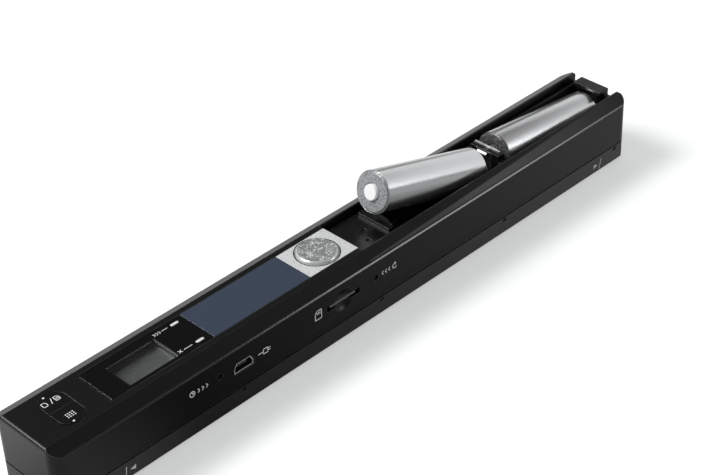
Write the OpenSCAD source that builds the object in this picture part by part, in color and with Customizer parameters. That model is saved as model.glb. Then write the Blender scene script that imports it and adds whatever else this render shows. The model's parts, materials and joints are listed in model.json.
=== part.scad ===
// Hand-held photo scanner: a long two-part housing with a display and keys on its
// top strip, an open bay with two cells tipped up in it, and a scan window and
// rollers underneath. X runs along the body, the display end is at -X, the front
// face with the sockets is at -Y, and the feet stand on z = 0.

/* [Body] */
// Length of the housing to the left of the inlaid strip
head_l = 26; // [24:0.5:30]
// Width of the housing at its side faces
body_w = 29.6; // [29.2:0.1:31.5]
// Height of the seam between the two shells
seam_z = 9.3; // [9:0.1:9.6]
// Drop of the top slopes from the flat top to the long edges
slope_h = 2.5; // [2.3:0.1:2.9]
// Flat rim of the top beside the cover opening
rim_w = 0.45; // [0.3:0.05:0.8]
// How far each side leans in towards the underside
side_draft = 1.5; // [1:0.1:1.8]
// Small chamfer along the underside
base_edge = 0.6; // [0.3:0.1:0.8]
// Rounding of both ends of the top
end_r = 1.2; // [0.8:0.1:1.6]
// Small chamfer along the two long edges
long_edge = 0.35; // [0.2:0.05:0.5]
// Radius of the upright corners, seen from above
corner_r = 4.5; // [3:0.1:5]
// Thickness of the side and end walls
wall = 1.4; // [1.2:0.1:1.5]
// Thickness of the top wall
roof_t = 2.4; // [2.2:0.1:2.6]
// Thickness of the bottom wall
floor_t = 1.4; // [1.2:0.1:1.5]
// Height of the feet under the bottom wall
foot_h = 0.6; // [0.5:0.1:0.7]
// Open line between the shells
seam_gap = 0.25; // [0.15:0.05:0.3]

/* [Top strip] */
// Half width of the inlaid strip of lens, panel and plate
strip_half = 8; // [7.8:0.1:8.2]
// Depth of the recess that takes the strip
strip_t = 1.2; // [1:0.1:1.3]
// Length of the lens
lens_l = 39.4; // [36:0.1:44]
// Length of the coloured panel
panel_l = 39.9; // [34:0.1:46]
// Length of the metal plate
plate_l = 20.9; // [18:0.1:24]
// Chamfer round the lens
lens_edge = 0.4; // [0.2:0.1:0.6]
// Display window: distance from the left end of the lens
window_inset = 8; // [6:0.5:9]
// Display window: distance from the right end of the lens
window_back_l = 13; // [12:0.5:15]
// Display window: distance from the front edge of the strip
window_front = 1.3; // [1:0.1:2]
// Display window: distance from the back edge of the strip
window_back = 3.3; // [2:0.1:4]
// Status lights: distance from the right end of the lens
light_inset = 3.9; // [3:0.1:4.5]
// Status lights: distance from the long edges of the strip
light_side = 2.2; // [1.6:0.1:2.6]
// Status light: length of the pill
light_l = 3; // [2.4:0.1:3.4]
// Status light: width of the pill
light_w = 1; // [0.8:0.1:1.2]
// Gap round each inlaid panel
inlay_gap = 0.1; // [0.05:0.01:0.15]

/* [Keys and scan button] */
// Centre of the key pair from the left end
key_inset = 14.25; // [13:0.25:16]
// Width of the key pair along the body
key_w = 9.3; // [8.6:0.1:9.6]
// How far the key pair reaches beyond the strip on each side
key_reach = 0.5; // [0:0.1:0.7]
// Gap round and between the keys
key_gap = 0.2; // [0.15:0.01:0.3]
// How far the keys stand above the top
key_proud = 0.3; // [0.2:0.1:0.5]
// Travel of each key
key_travel = 0.4; // [0.3:0.05:0.5]
// Centre of the round scan button from the right end of the plate
button_inset = 10.4; // [9:0.1:12]
// Width of the plate left beside the scan button
button_rim = 1.1; // [0.9:0.1:1.6]
// How far the scan button stands above the plate
button_proud = 1; // [0.8:0.1:1.4]
// Travel of the scan button
button_travel = 0.7; // [0.5:0.05:0.8]
// Gap round the scan button
button_gap = 0.25; // [0.2:0.05:0.3]
// Bevel on the rim of the scan button
button_bevel = 0.7; // [0.4:0.1:0.8]

/* [Cell bay] */
// Width of the groove on each side of the tray
groove_w = 1.15; // [1:0.05:1.4]
// Depth of the cover shelf below the flat top
shelf_drop = 2.5; // [2.3:0.1:2.7]
// Depth of the groove floor below the flat top
groove_drop = 6.5; // [6:0.1:7]
// Depth of the sill at the open end of the housing
sill_drop = 3.3; // [3.1:0.1:3.6]
// Room above a seated cell, under the cover
cover_room = 1.7; // [1.5:0.1:2.2]
// Thickness of the tray wall beside a cell
tray_wall = 0.95; // [0.8:0.05:1.2]
// Thickness of the tray under a cell
tray_floor = 0.9; // [0.8:0.1:1.2]
// Clearance between the tray and the sensor bar
tray_lift = 0.7; // [0.4:0.1:1]
// Length of the cover shelf from the plate to the first bay
shelf_l = 17; // [15:0.1:19]
// Room for the first spring at the end of a seated cell
spring_room_1 = 2.9; // [2.8:0.1:3.2]
// Room for the second cell's terminal and spring
spring_room_2 = 5.8; // [5.8:0.1:6.4]
// Thickness of the divider between the bays
divider_t = 2.5; // [2.2:0.1:2.7]
// How far the two polarity ribs stand out of the divider
rib_d = 0.7; // [0.4:0.1:0.8]
// From the second bay to the end of the housing
end_l = 3.2; // [3:0.1:4]
// Clearance round a seated cell
cell_gap = 0.3; // [0.2:0.05:0.35]
// Step from the tray's side to the divider above its walls
divider_step = 2.2; // [1.6:0.1:2.6]
// Step from the tray's side to the catch block at the far end
block_step = 2.5; // [2:0.1:3]
// How far the catch block reaches out over the spring
block_lip = 2.5; // [2.2:0.1:2.6]
// Thickness of the catch block beyond the bay
block_t = 2.2; // [2:0.1:2.6]
// Thickness of the ridge at the end of the cover shelf
ridge_t = 2; // [1.6:0.1:2.4]
// Step from the tray's side to the end of the ridge
ridge_step = 1.5; // [1:0.1:2]
// Drop of the ridge below the flat top
ridge_drop = 1.1; // [0.7:0.1:1.5]

/* [Cells] */
// Radius of a cell
cell_r = 7.25; // [7.1:0.01:7.28]
// Length of a cell without its terminal
cell_l = 49.2; // [49:0.1:49.4]
// Height of the raised terminal
nub_h = 1; // [0.8:0.1:1.1]
// Radius of the raised terminal
nub_r = 2.75; // [2.5:0.05:3]
// Tilt of the first cell, as it lies out of its bay
cell_1_tilt = 16.4; // [16:0.1:17]
// Slight turn of the first cell, seen from above
cell_1_turn = 0.7; // [0:0.1:0.8]
// Tilt of the second cell
cell_2_tilt = 6.6; // [5:0.1:6.6]
// First cell: distance from its right upper edge to the divider
cell_1_back = 4.5; // [4.3:0.1:4.9]
// First cell: height of its right upper edge above the axis of a seated cell
cell_1_rise = 11.55; // [11.4:0.05:11.85]
// Second cell: distance from its right end to the wall of the bay
cell_2_back = 3.2; // [3.1:0.05:3.25]
// Thickness of the printed jacket
jacket_t = 0.15; // [0.1:0.01:0.2]

/* [Contacts and springs] */
// Thickness of the contact strips
strip_metal_t = 0.3; // [0.2:0.05:0.35]
// Width of the contact strips
contact_w = 7; // [6:0.5:8]
// Thickness of the spring wire
wire_d = 0.5; // [0.4:0.05:0.55]
// Radius of the wide end of both springs
spring_r = 4.3; // [4:0.1:4.5]
// Radius of the narrow end of both springs
spring_tip_r = 2.2; // [2:0.1:2.4]
// Number of turns of the first spring
spring_1_turns = 4; // [3:1:5]
// Number of turns of the second spring
spring_2_turns = 2; // [1.5:0.5:2]
// Free length of the first spring
spring_1_l = 6.5; // [6:0.1:6.6]
// Length of the second spring under the tipped cell
spring_2_l = 3.1; // [2.9:0.05:3.15]

/* [Front face] */
// Radius of the two recessed push holes
pinhole_r = 1; // [0.9:0.05:1.2]
// Clock setting push hole: distance to the left of the end of the lens
time_back = 4.7; // [4:0.1:5.5]
// Card clearing push hole: distance to the right of the end of the plate
format_out = 0.8; // [0.4:0.1:1.2]
// Height of both push holes above the main board
pinhole_rise = 2.8; // [2.5:0.1:3.1]
// Travel of the pins in the push holes
pin_travel = 0.25; // [0.2:0.05:0.3]
// Data socket: distance of its centre to the right of the end of the lens
usb_out = 4.75; // [4.2:0.05:5.4]
// Data socket: width at its wide side
usb_w = 7.7; // [7.3:0.1:7.9]
// Data socket: width at its narrow side
usb_top_w = 5.6; // [5:0.1:6]
// Data socket: height
usb_h = 3.5; // [3.3:0.1:3.7]
// Card slot: distance of its centre to the left of the end of the plate
slot_back = 13.8; // [13:0.1:14.4]
// Card slot: width
slot_w = 14.6; // [13:0.1:15]
// Card slot: height
slot_h = 2.2; // [2:0.1:2.6]
// Card slot: height of its middle above the main board
slot_rise = 2.2; // [2.1:0.1:2.4]
// Radius of the finger scoop, seen from the front
scoop_r = 4.1; // [3.5:0.1:4.3]
// Depth of the finger scoop
scoop_depth = 1.65; // [1:0.05:1.7]

/* [Memory card] */
// Width of the card
card_w = 11; // [10.8:0.1:11.2]
// Length of the card
card_l = 15; // [14.5:0.1:15.2]
// Thickness of the card
card_t = 0.8; // [0.7:0.05:0.9]
// How far the card can be drawn out
card_travel = 13; // [10:1:14]

/* [Boards] */
// Thickness of both circuit boards
board_t = 1.4; // [1:0.1:1.5]
// Depth of the key board's top below the inside of the roof
key_board_drop = 3.5; // [3.4:0.1:3.7]
// Distance between the tops of the two boards
board_pitch = 5.6; // [5.5:0.1:5.8]
// Clearance between the main board and the side walls
board_gap = 1; // [0.8:0.1:1.2]
// Clearance between the key board and the edges of the strip above it
key_board_gap = 0.6; // [0.4:0.1:0.8]
// Distance of both boards from the left end
board_inset = 9; // [8.5:0.5:9.5]
// Distance of both boards from the end of the plate
board_back = 2.2; // [2:0.1:2.7]
// Radius of a board boss
boss_r = 1.9; // [1.7:0.1:2]
// Screw: radius of the shank
screw_r = 0.75; // [0.6:0.05:0.8]
// Screw: radius of the head
screw_head_r = 1.5; // [1.3:0.1:1.6]
// Screw: thickness of the head
screw_head_h = 1; // [0.8:0.1:1.1]
// Clearance round a screw shank
screw_gap = 0.05; // [0.03:0.01:0.1]

/* [Underside] */
// Distance of the scan glass from the left end
glass_inset_0 = 21.5; // [21:0.5:23]
// Distance of the scan glass from the right end
glass_inset_1 = 11.9; // [11.4:0.1:13]
// Side land that the scan glass lies on
glass_land = 0.8; // [0.6:0.1:1]
// Thickness of the scan glass
glass_t = 0.9; // [0.7:0.1:1]
// How far the image sensor bar laps over each side of the glass
sensor_lap = 0.4; // [0.3:0.1:0.6]
// Height of the image sensor bar
sensor_h = 6.4; // [6:0.1:6.6]
// Clearance between the rollers and the side walls
roller_gap = 0.1; // [0.05:0.05:0.2]
// Clearance between the rollers and the image sensor bar
roller_side = 0.6; // [0.5:0.1:0.8]
// Radius of the rubber rollers
roller_r = 3.2; // [3:0.05:3.3]
// Gap between the rollers and the table
roller_lift = 0.1; // [0.05:0.05:0.2]
// Radius of the roller shafts
shaft_r = 1; // [0.8:0.05:1.1]
// Number of rubber sleeves on each shaft
sleeve_n = 4; // [2:1:5]
// Distance of the row of sleeves from the left end
roller_inset_0 = 24; // [23:0.5:25]
// Distance of the row of sleeves from the right end
roller_inset_1 = 15; // [14:0.5:16]
// Width of a shaft bearing
bearing_w = 3; // [2.5:0.1:3.5]
// Running clearance of the shafts in their bearings
shaft_gap = 0.05; // [0.03:0.01:0.08]
// Number of snap pegs along each side
peg_n = 5; // [3:1:5]
// Distance of the outer snap pegs from the ends, taken together
peg_inset = 16.8; // [16:0.1:20]
// Place of the middle snap peg
peg_x = 1.6; // [1:0.1:2]
// Depth of the snap pegs below the seam
peg_drop = 1.9; // [1.8:0.1:2.1]
// Radius of the snap pegs
peg_r = 0.75; // [0.6:0.05:0.9]

/* [Motion sensing] */
// Size of a gear tooth, as pitch diameter over number of teeth
gear_module = 0.4; // [0.38:0.01:0.4]
// Teeth on the roller gear
roller_teeth = 13; // [13:1:13]
// Teeth on the encoder gear
encoder_teeth = 20; // [20:1:20]
// Number of slots in the encoder disc
encoder_slots = 16; // [8:1:20]
// Radius of the encoder disc
disc_r = 4.6; // [4.2:0.1:4.7]
// Height of the encoder shaft above the roller shaft
encoder_rise = 3.6; // [3.5:0.05:3.8]

/* [Hidden] */
$fn = 48;
// Overrun of every cut, and the depth by which joined solids run into each other
over = 0.5;
// Clearance between parts that lie side by side or face each other without touching
air = 0.3;
// Loose fit of a piece in its opening
loose = 0.15;

// Heights, from the table upwards
bay_r = cell_r + cell_gap;
floor_z = foot_h + floor_t;
tray_z = floor_z + sensor_h + tray_lift;
seat_z = tray_z + tray_floor + bay_r;
body_h = seat_z + cell_r + cover_room;
edge_z = body_h - slope_h;
roof_z = body_h - roof_t;
strip_z = body_h - strip_t;
shelf_z = body_h - shelf_drop;
groove_z = body_h - groove_drop;
sill_z = body_h - sill_drop;
ridge_z = body_h - ridge_drop;
cell_1_z = seat_z + cell_1_rise;
key_board_z = roof_z - key_board_drop;
key_board_under = key_board_z - board_t;
board_z = key_board_z - board_pitch;
board_under = board_z - board_t;
pinhole_z = board_z + pinhole_rise;
slot_z = board_z + slot_rise;
peg_z = seam_z - peg_drop;

// Places along the body, from its left end
body_l = head_l + lens_l + panel_l + plate_l + shelf_l + 2 * cell_l + spring_room_1 + divider_t
    + spring_room_2 + end_l;
half_l = body_l / 2;
in_x = half_l - wall;
key_x = -half_l + key_inset;
strip_x0 = -half_l + head_l;
lens_end_x = strip_x0 + lens_l;
panel_end_x = lens_end_x + panel_l;
plate_end_x = panel_end_x + plate_l;
window_x0 = strip_x0 + window_inset;
window_x1 = lens_end_x - window_back_l;
light_x = lens_end_x - light_inset;
button_x = plate_end_x - button_inset;
time_x = lens_end_x - time_back;
usb_x = lens_end_x + usb_out;
slot_x = plate_end_x - slot_back;
format_x = plate_end_x + format_out;
board_x0 = -half_l + board_inset;
key_board_x0 = board_x0;
board_x1 = plate_end_x - board_back;
bay_x0 = plate_end_x + shelf_l;
divider_x0 = bay_x0 + cell_l + spring_room_1;
divider_x1 = divider_x0 + divider_t;
rib_x1 = divider_x1 + rib_d;
bay_x1 = divider_x1 + cell_l + spring_room_2;
block_x0 = bay_x1 - block_lip;
block_x1 = bay_x1 + block_t;
cell_1_x = divider_x0 - cell_1_back;
cell_2_x = bay_x1 - cell_2_back;
glass_x0 = -half_l + glass_inset_0;
glass_x1 = half_l - glass_inset_1;
roller_x0 = -half_l + roller_inset_0;
roller_x1 = half_l - roller_inset_1;
peg_pitch = (body_l - peg_inset) / (peg_n - 1);

// Places across the body, from its centre line
half_w = body_w / 2;
in_y = half_w - wall;
tray_half = bay_r + tray_wall;
mouth_half = tray_half + groove_w;
flat_w = 2 * (mouth_half + rim_w);
divider_half = tray_half - divider_step;
block_half = tray_half - block_step;
ridge_half = tray_half - ridge_step;
base_half = half_w - side_draft;
roller_y = base_half - wall - roller_gap - roller_r;
sensor_half = roller_y - roller_r - roller_side;
glass_half = sensor_half - sensor_lap;
slit_half = glass_half - glass_land;
window_y0 = -strip_half + window_front;
window_y1 = strip_half - window_back;
light_y = strip_half - light_side;
key_l = 2 * (strip_half + key_reach);
button_r = strip_half - button_rim;
board_half = in_y - board_gap;
key_board_half = strip_half - key_board_gap;

// Half width of the lower housing at height z
function side_y(z) = base_half + (half_w - base_half) * (z - foot_h) / (seam_z - foot_h);

// A Y-Z outline drawn out along X from x0 to x1
module along_x(x0, x1) {
    translate([x0, 0, 0]) rotate([90, 0, 90]) linear_extrude(x1 - x0) children();
}

// An X-Z outline drawn out along Y from y0 to y1
module along_y(y0, y1) {
    translate([0, y1, 0]) rotate([90, 0, 0]) linear_extrude(y1 - y0) children();
}

// A box from corner a to corner b
module block(a, b) {
    translate(a) cube(b - a);
}

module rod_x(x0, x1, y, z, r) {
    translate([x0, y, z]) rotate([0, 90, 0]) cylinder(h = x1 - x0, r = r);
}

module rod_y(x, y0, y1, z, r) {
    translate([x, y1, z]) rotate([90, 0, 0]) cylinder(h = y1 - y0, r = r);
}

module rod_z(x, y, z0, z1, r) {
    translate([x, y, z0]) cylinder(h = z1 - z0, r = r);
}

// Rounded rectangle of exact arcs
module soft_square(l, w, r) {
    square([l - 2 * r, w], center = true);
    square([l, w - 2 * r], center = true);
    for (sx = [-1, 1], sy = [-1, 1])
        translate([sx * (l / 2 - r), sy * (w / 2 - r)]) circle(r = r);
}

// Upright prism with the plan of the housing, drawn in by inset
module plan_prism(inset, z0, z1) {
    translate([0, 0, z0]) linear_extrude(z1 - z0)
        soft_square(body_l - 2 * inset, body_w - 2 * inset, corner_r - inset);
}

// Drop of the top slopes over their run
slope_share = (body_h - edge_z) / (half_w - flat_w / 2);

module upper_outline() {
    e = long_edge;
    polygon([[-half_w, seam_z], [half_w, seam_z], [half_w, edge_z - e],
        [half_w - e, edge_z + slope_share * e], [flat_w / 2, body_h], [-flat_w / 2, body_h],
        [-half_w + e, edge_z + slope_share * e], [-half_w, edge_z - e]]);
}

// Side view of the upper shell, with both ends of its top rounded
module end_outline() {
    low = body_h - end_r;
    translate([-half_l, seam_z - over]) square([body_l, low - seam_z + over]);
    translate([-half_l + end_r, seam_z]) square([body_l - 2 * end_r, body_h - seam_z]);
    for (s = [-1, 1]) translate([s * (half_l - end_r), low]) circle(r = end_r);
}

module upper_inside() {
    knee_z = roof_z - slope_share * (in_y - strip_half);
    polygon([[-in_y, seam_z - over], [in_y, seam_z - over], [in_y, knee_z],
        [strip_half, roof_z], [-strip_half, roof_z], [-in_y, knee_z]]);
}

module lower_outline(top) {
    polygon([[-base_half + base_edge, foot_h], [base_half - base_edge, foot_h],
        [side_y(foot_h + base_edge), foot_h + base_edge], [side_y(top), top],
        [-side_y(top), top], [-side_y(foot_h + base_edge), foot_h + base_edge]]);
}

module lower_inside(top) {
    polygon([[-side_y(floor_z) + wall, floor_z], [side_y(floor_z) - wall, floor_z],
        [side_y(top) - wall, top], [-side_y(top) + wall, top]]);
}

// Stadium across the body, grown by grow all round
module key_outline(grow) {
    r = key_w / 2 + grow;
    run = key_l / 2 - key_w / 2;
    square([2 * r, 2 * run], center = true);
    for (s = [-1, 1]) translate([0, s * run]) circle(r = r);
}

module pill(l, w) {
    square([l - w, w], center = true);
    for (s = [-1, 1]) translate([s * (l - w) / 2, 0]) circle(d = w);
}

// Trapezoid of the data socket with its wide side down, grown by grow
module usb_outline(grow) {
    shoulder_share = 0.45;
    w = usb_w / 2 + grow;
    t = usb_top_w / 2 + grow;
    polygon([[-w, -grow], [w, -grow], [w, usb_h * shoulder_share], [t, usb_h + grow],
        [-t, usb_h + grow], [-w, usb_h * shoulder_share]]);
}

function peg_at(i) = peg_x + (i - (peg_n - 1) / 2) * peg_pitch;

// Housing

case_screw_inset = 5.2;
case_screw_side = 6.1;
case_screw_x = half_l - case_screw_inset;
case_screw_y = base_half - case_screw_side;
case_post_r = 2.2;
case_seat_rise = 2.4;
case_seat_z = floor_z + case_seat_rise;
board_screw_inset = 4;
board_screw_back = 11.3;
board_screw_side = 1.8;
board_screw_x = [strip_x0 + board_screw_inset, panel_end_x - board_screw_back];
board_screw_y = board_half - board_screw_side;
key_boss_out = 3.5;
key_boss_back = 21.3;
key_boss_side = 2.2;
key_boss_x = [strip_x0 - key_boss_out, panel_end_x - key_boss_back];
key_boss_y = key_board_half - key_boss_side;
flange_t = 0.8;
tab_t = 0.9;
tab_w = 5;
tab_out = 0.35;
tab_low = 1.6;
tab_high = 2.7;
tab_y = base_half - wall + tab_out;
tab_z0 = peg_z - tab_low;
tab_z1 = seam_z + tab_high;
peg_recess = 0.4;
screw_bore_l = 6;
flange_out = 0.6;
key_bore_l = 3;
slot_boss_rim = 0.6;
slot_boss_depth = 2.05;
slot_boss_l = 2 * (scoop_r + slot_boss_rim);
slot_boss_y = -half_w + slot_boss_depth;

module cover_mouth() {
    block([plate_end_x, -mouth_half, groove_z], [in_x + over, mouth_half, body_h + over]);
    block([in_x, -mouth_half, sill_z], [half_l + over, mouth_half, body_h + over]);
}

module front_openings() {
    for (x = [time_x, format_x])
        rod_y(x, -half_w - over, -in_y + over, pinhole_z, pinhole_r);
    translate([usb_x, 0, board_z]) along_y(-half_w - over, -in_y + over) usb_outline(loose);
    block([slot_x - slot_w / 2, -half_w - over, slot_z - slot_h / 2],
        [slot_x + slot_w / 2, slot_boss_y + over, slot_z + slot_h / 2]);
    ball_r = (scoop_r * scoop_r + scoop_depth * scoop_depth) / (2 * scoop_depth);
    translate([slot_x, -half_w - ball_r + scoop_depth, slot_z]) sphere(r = ball_r);
}

module snap_tabs() {
    for (i = [0 : peg_n - 1], s = [-1, 1]) translate([peg_at(i), 0, 0]) mirror([0, s < 0 ? 1 : 0, 0]) {
        block([-tab_w / 2, tab_y - tab_t, tab_z0], [tab_w / 2, tab_y, tab_z1]);
        block([-tab_w / 2, tab_y - tab_t, seam_z + air], [tab_w / 2, in_y + over, tab_z1]);
        rod_y(0, tab_y - tab_t / 2, side_y(peg_z) - peg_recess, peg_z, peg_r);
    }
}

module screw_bosses() {
    for (s = [-1, 1]) {
        rod_z(-case_screw_x, s * case_screw_y, case_seat_z, roof_z + over, case_post_r);
        for (x = board_screw_x) rod_z(x, s * board_screw_y, board_z, roof_z, boss_r);
        for (x = key_boss_x) rod_z(x, s * key_boss_y, key_board_z, roof_z + over, boss_r);
    }
}

module screw_bores() {
    bore = screw_r + screw_gap;
    for (s = [-1, 1]) {
        rod_z(-case_screw_x, s * case_screw_y, case_seat_z - over, case_seat_z + screw_bore_l, bore);
        for (x = board_screw_x) rod_z(x, s * board_screw_y, board_z - over, board_z + screw_bore_l, bore);
        for (x = key_boss_x) rod_z(x, s * key_boss_y, key_board_z - over, key_board_z + key_bore_l, bore);
    }
}

module upper_shell() {
    color([0.09, 0.09, 0.1]) difference() {
        union() {
            difference() {
                intersection() {
                    along_x(-half_l, half_l) upper_outline();
                    along_y(-half_w, half_w) end_outline();
                    plan_prism(0, seam_z, body_h);
                }
                intersection() {
                    along_x(-in_x, in_x) upper_inside();
                    plan_prism(wall, seam_z - over, body_h);
                }
            }
            screw_bosses();
            snap_tabs();
            block([slot_x - slot_boss_l / 2, -in_y - over, slot_z - scoop_r - air],
                [slot_x + slot_boss_l / 2, slot_boss_y, slot_z + scoop_r + air]);
            for (s = [-1, 1]) mirror([0, s < 0 ? 1 : 0, 0])
                block([plate_end_x - flange_t, tray_half + loose, groove_z - flange_t],
                    [in_x + over, in_y + over, groove_z]);
            block([plate_end_x - flange_t, -in_y - over, groove_z - flange_t],
                [plate_end_x, in_y + over, roof_z + over]);
        }
        cover_mouth();
        block([strip_x0, -strip_half, strip_z], [plate_end_x + over, strip_half, body_h + over]);
        block([window_x0, window_y0, roof_z - over], [window_x1, window_y1, strip_z + over]);
        for (s = [-1, 1]) translate([light_x, s * light_y, roof_z - over])
            linear_extrude(roof_t) pill(light_l + 2 * loose, light_w + 2 * loose);
        translate([key_x, 0, roof_z - over]) linear_extrude(roof_t + 2 * over) key_outline(0);
        rod_z(button_x, 0, roof_z - over, strip_z + over, button_r + flange_out);
        front_openings();
        screw_bores();
    }
}

foot_l = 6;
foot_w = 3.6;
foot_inset = 10;
foot_side = 3.9;
foot_x = half_l - foot_inset;
foot_y = base_half - foot_side;
sleeve_pitch = (roller_x1 - roller_x0) / sleeve_n;
sleeve_l = sleeve_pitch - bearing_w - 4 * air;
roller_z = roller_r + roller_lift;

function sleeve_x(i) = roller_x0 + (i + 0.5) * sleeve_pitch;
function bearing_x(i) = roller_x0 + i * sleeve_pitch;

module roller_slots() {
    for (i = [0 : sleeve_n - 1], s = [-1, 1])
        block([sleeve_x(i) - sleeve_l / 2 - air, s * roller_y - roller_r, 0],
            [sleeve_x(i) + sleeve_l / 2 + air, s * roller_y + roller_r, floor_z + over]);
}

module bottom_shell() {
    top = seam_z - seam_gap;
    head_z = floor_z + loose;
    color([0.1, 0.1, 0.11]) difference() {
        union() {
            difference() {
                intersection() {
                    along_x(-half_l, half_l) lower_outline(top);
                    plan_prism(0, 0, seam_z);
                }
                intersection() {
                    along_x(-in_x, in_x) lower_inside(top + over);
                    plan_prism(wall, 0, seam_z + over);
                }
            }
            for (sx = [-1, 1], sy = [-1, 1]) {
                rod_z(sx * case_screw_x, sy * case_screw_y, floor_z - over, case_seat_z, case_post_r);
                block([sx * foot_x - foot_l / 2, sy * foot_y - foot_w / 2, 0],
                    [sx * foot_x + foot_l / 2, sy * foot_y + foot_w / 2, foot_h + over]);
            }
        }
        roller_slots();
        block([gear_x0 - air, roller_y - gear_tip_r - air, 0],
            [gear_x0 + gear_w + air, roller_y + gear_tip_r + air, floor_z + over]);
        block([glass_x0 + air, -slit_half, 0], [glass_x1 - air, slit_half, floor_z + over]);
        block([glass_x0 - loose, -glass_half - loose, floor_z - glass_t],
            [glass_x1 + loose, glass_half + loose, floor_z + over]);
        for (sx = [-1, 1], sy = [-1, 1]) {
            rod_z(sx * case_screw_x, sy * case_screw_y, 0, head_z, screw_head_r + loose);
            rod_z(sx * case_screw_x, sy * case_screw_y, 0, case_seat_z + over, screw_r + screw_gap);
        }
        for (i = [0 : peg_n - 1])
            rod_y(peg_at(i), -half_w - over, half_w + over, peg_z, peg_r + loose);
    }
}

// Top strip

scan_switch_w = 6;
scan_switch_h = 1.6;
scan_cap_h = 0.9;
key_switch_w = 4.4;
key_switch_h = 1;
key_cap_h = 0.6;
pane_t = 0.9;
pane_drop = 0.1;

module display_lens() {
    x0 = strip_x0 + inlay_gap;
    x1 = lens_end_x - inlay_gap / 2;
    y = strip_half - inlay_gap;
    color([0.05, 0.05, 0.06]) difference() {
        intersection() {
            along_x(x0, x1) polygon([[-y, strip_z], [y, strip_z], [y, body_h - lens_edge],
                [y - lens_edge, body_h], [-y + lens_edge, body_h], [-y, body_h - lens_edge]]);
            along_y(-y, y) polygon([[x0, strip_z], [x1, strip_z], [x1, body_h],
                [x0 + lens_edge, body_h], [x0, body_h - lens_edge]]);
        }
        for (s = [-1, 1]) translate([light_x, s * light_y, strip_z - over])
            linear_extrude(strip_t + 2 * over) pill(light_l + 2 * inlay_gap, light_w + 2 * inlay_gap);
        block([window_x0, window_y0, strip_z - over], [window_x1, window_y1, body_h + over]);
    }
}

// Clear pane set flush in the lens
module display_window() {
    color([0.7, 0.75, 0.78, 0.4]) block(
        [window_x0 + inlay_gap / 2, window_y0 + inlay_gap / 2, body_h - pane_t],
        [window_x1 - inlay_gap / 2, window_y1 - inlay_gap / 2, body_h - pane_drop]);
}

module blue_panel() {
    color([0.27, 0.29, 0.37]) block([lens_end_x + inlay_gap / 2, -strip_half + inlay_gap, strip_z],
        [panel_end_x - inlay_gap / 2, strip_half - inlay_gap, body_h]);
}

module button_plate() {
    color([0.86, 0.86, 0.87]) difference() {
        block([panel_end_x + inlay_gap / 2, -strip_half + inlay_gap, strip_z],
            [plate_end_x, strip_half - inlay_gap, body_h]);
        rod_z(button_x, 0, strip_z - over, body_h + over, button_r + button_gap);
    }
}

led_l = 1.6;
led_w = 0.8;
led_h = 1;
led_gap = 0.2;

module status_lights() {
    foot_z = key_board_z + led_h + led_gap;
    color([0.95, 0.95, 0.95]) for (s = [-1, 1])
        translate([light_x, s * light_y, foot_z])
            linear_extrude(body_h - foot_z) pill(light_l, light_w);
}

module led_chips() {
    color([0.9, 0.9, 0.8]) for (s = [-1, 1])
        translate([light_x, s * light_y, key_board_z]) linear_extrude(led_h)
            square([led_l, led_w], center = true);
}

// Glass of the display in a frame that stands on the key board
module display_module() {
    rim = 1.2;
    top = roof_z - air;
    color([0.45, 0.47, 0.47]) difference() {
        block([window_x0 - rim, window_y0 - rim + over, key_board_z],
            [window_x1 + rim, window_y1 + rim, top]);
        block([window_x0, window_y0, top - air], [window_x1, window_y1, top + over]);
    }
}

// Round button: a domed cap with a bevelled rim, a flange under the plate and a stem
module scan_button() {
    r = button_r;
    flange_drop = 0.15;
    flange_thick = 0.75;
    switch_gap = 1;
    stem_r = 2;
    dish = 0.25;
    top = body_h + button_proud;
    flange_top = strip_z - flange_drop;
    flange_bottom = flange_top - flange_thick;
    stem_z = key_board_z + scan_switch_h + scan_cap_h + switch_gap;
    color([0.78, 0.78, 0.8]) translate([button_x, 0, 0]) rotate_extrude() polygon([
        [0, stem_z], [stem_r, stem_z], [stem_r, flange_bottom], [r + air, flange_bottom],
        [r + air, flange_top], [r, flange_top], [r, top - button_bevel],
        [r - button_bevel, top], [r - 2 * button_bevel, top - dish], [0, top - dish]]);
}

// One key of the pair, on side s of the centre line
module key_piece(s) {
    flange_drop = 0.7;
    flange_thick = 0.5;
    switch_gap = 0.6;
    stem_r = 1.4;
    top = body_h + key_proud;
    flange_z1 = roof_z - flange_drop;
    flange_z0 = flange_z1 - flange_thick;
    stem_z = key_board_z + key_switch_h + key_cap_h + switch_gap;
    translate([key_x, 0, 0]) {
        difference() {
            union() {
                translate([0, 0, flange_z0]) linear_extrude(top - flange_z0) key_outline(-key_gap);
                translate([0, 0, flange_z0]) linear_extrude(flange_z1 - flange_z0) key_outline(key_gap * 2);
            }
            block([-key_w, s > 0 ? -key_l : -key_gap / 2, flange_z0 - over],
                [key_w, s > 0 ? key_gap / 2 : key_l, top + over]);
        }
        rod_z(0, s * key_l / 4, stem_z, flange_z0 + over, stem_r);
    }
}

module page_key() { color([0.08, 0.08, 0.09]) key_piece(1); }

module resolution_key() { color([0.08, 0.08, 0.09]) key_piece(-1); }

// Small push switch: a square base with a round cap
module push_switch(w, base_h, cap_h) {
    translate([0, 0, base_h / 2]) cube([w, w, base_h], center = true);
    cylinder(h = base_h + cap_h, r = w / 4);
}

module scan_switch() {
    color([0.2, 0.2, 0.22]) translate([button_x, 0, key_board_z])
        push_switch(scan_switch_w, scan_switch_h, scan_cap_h);
}

module key_switches() {
    color([0.2, 0.2, 0.22]) for (s = [-1, 1])
        translate([key_x, s * key_l / 4, key_board_z])
            push_switch(key_switch_w, key_switch_h, key_cap_h);
}

// Boards

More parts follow.
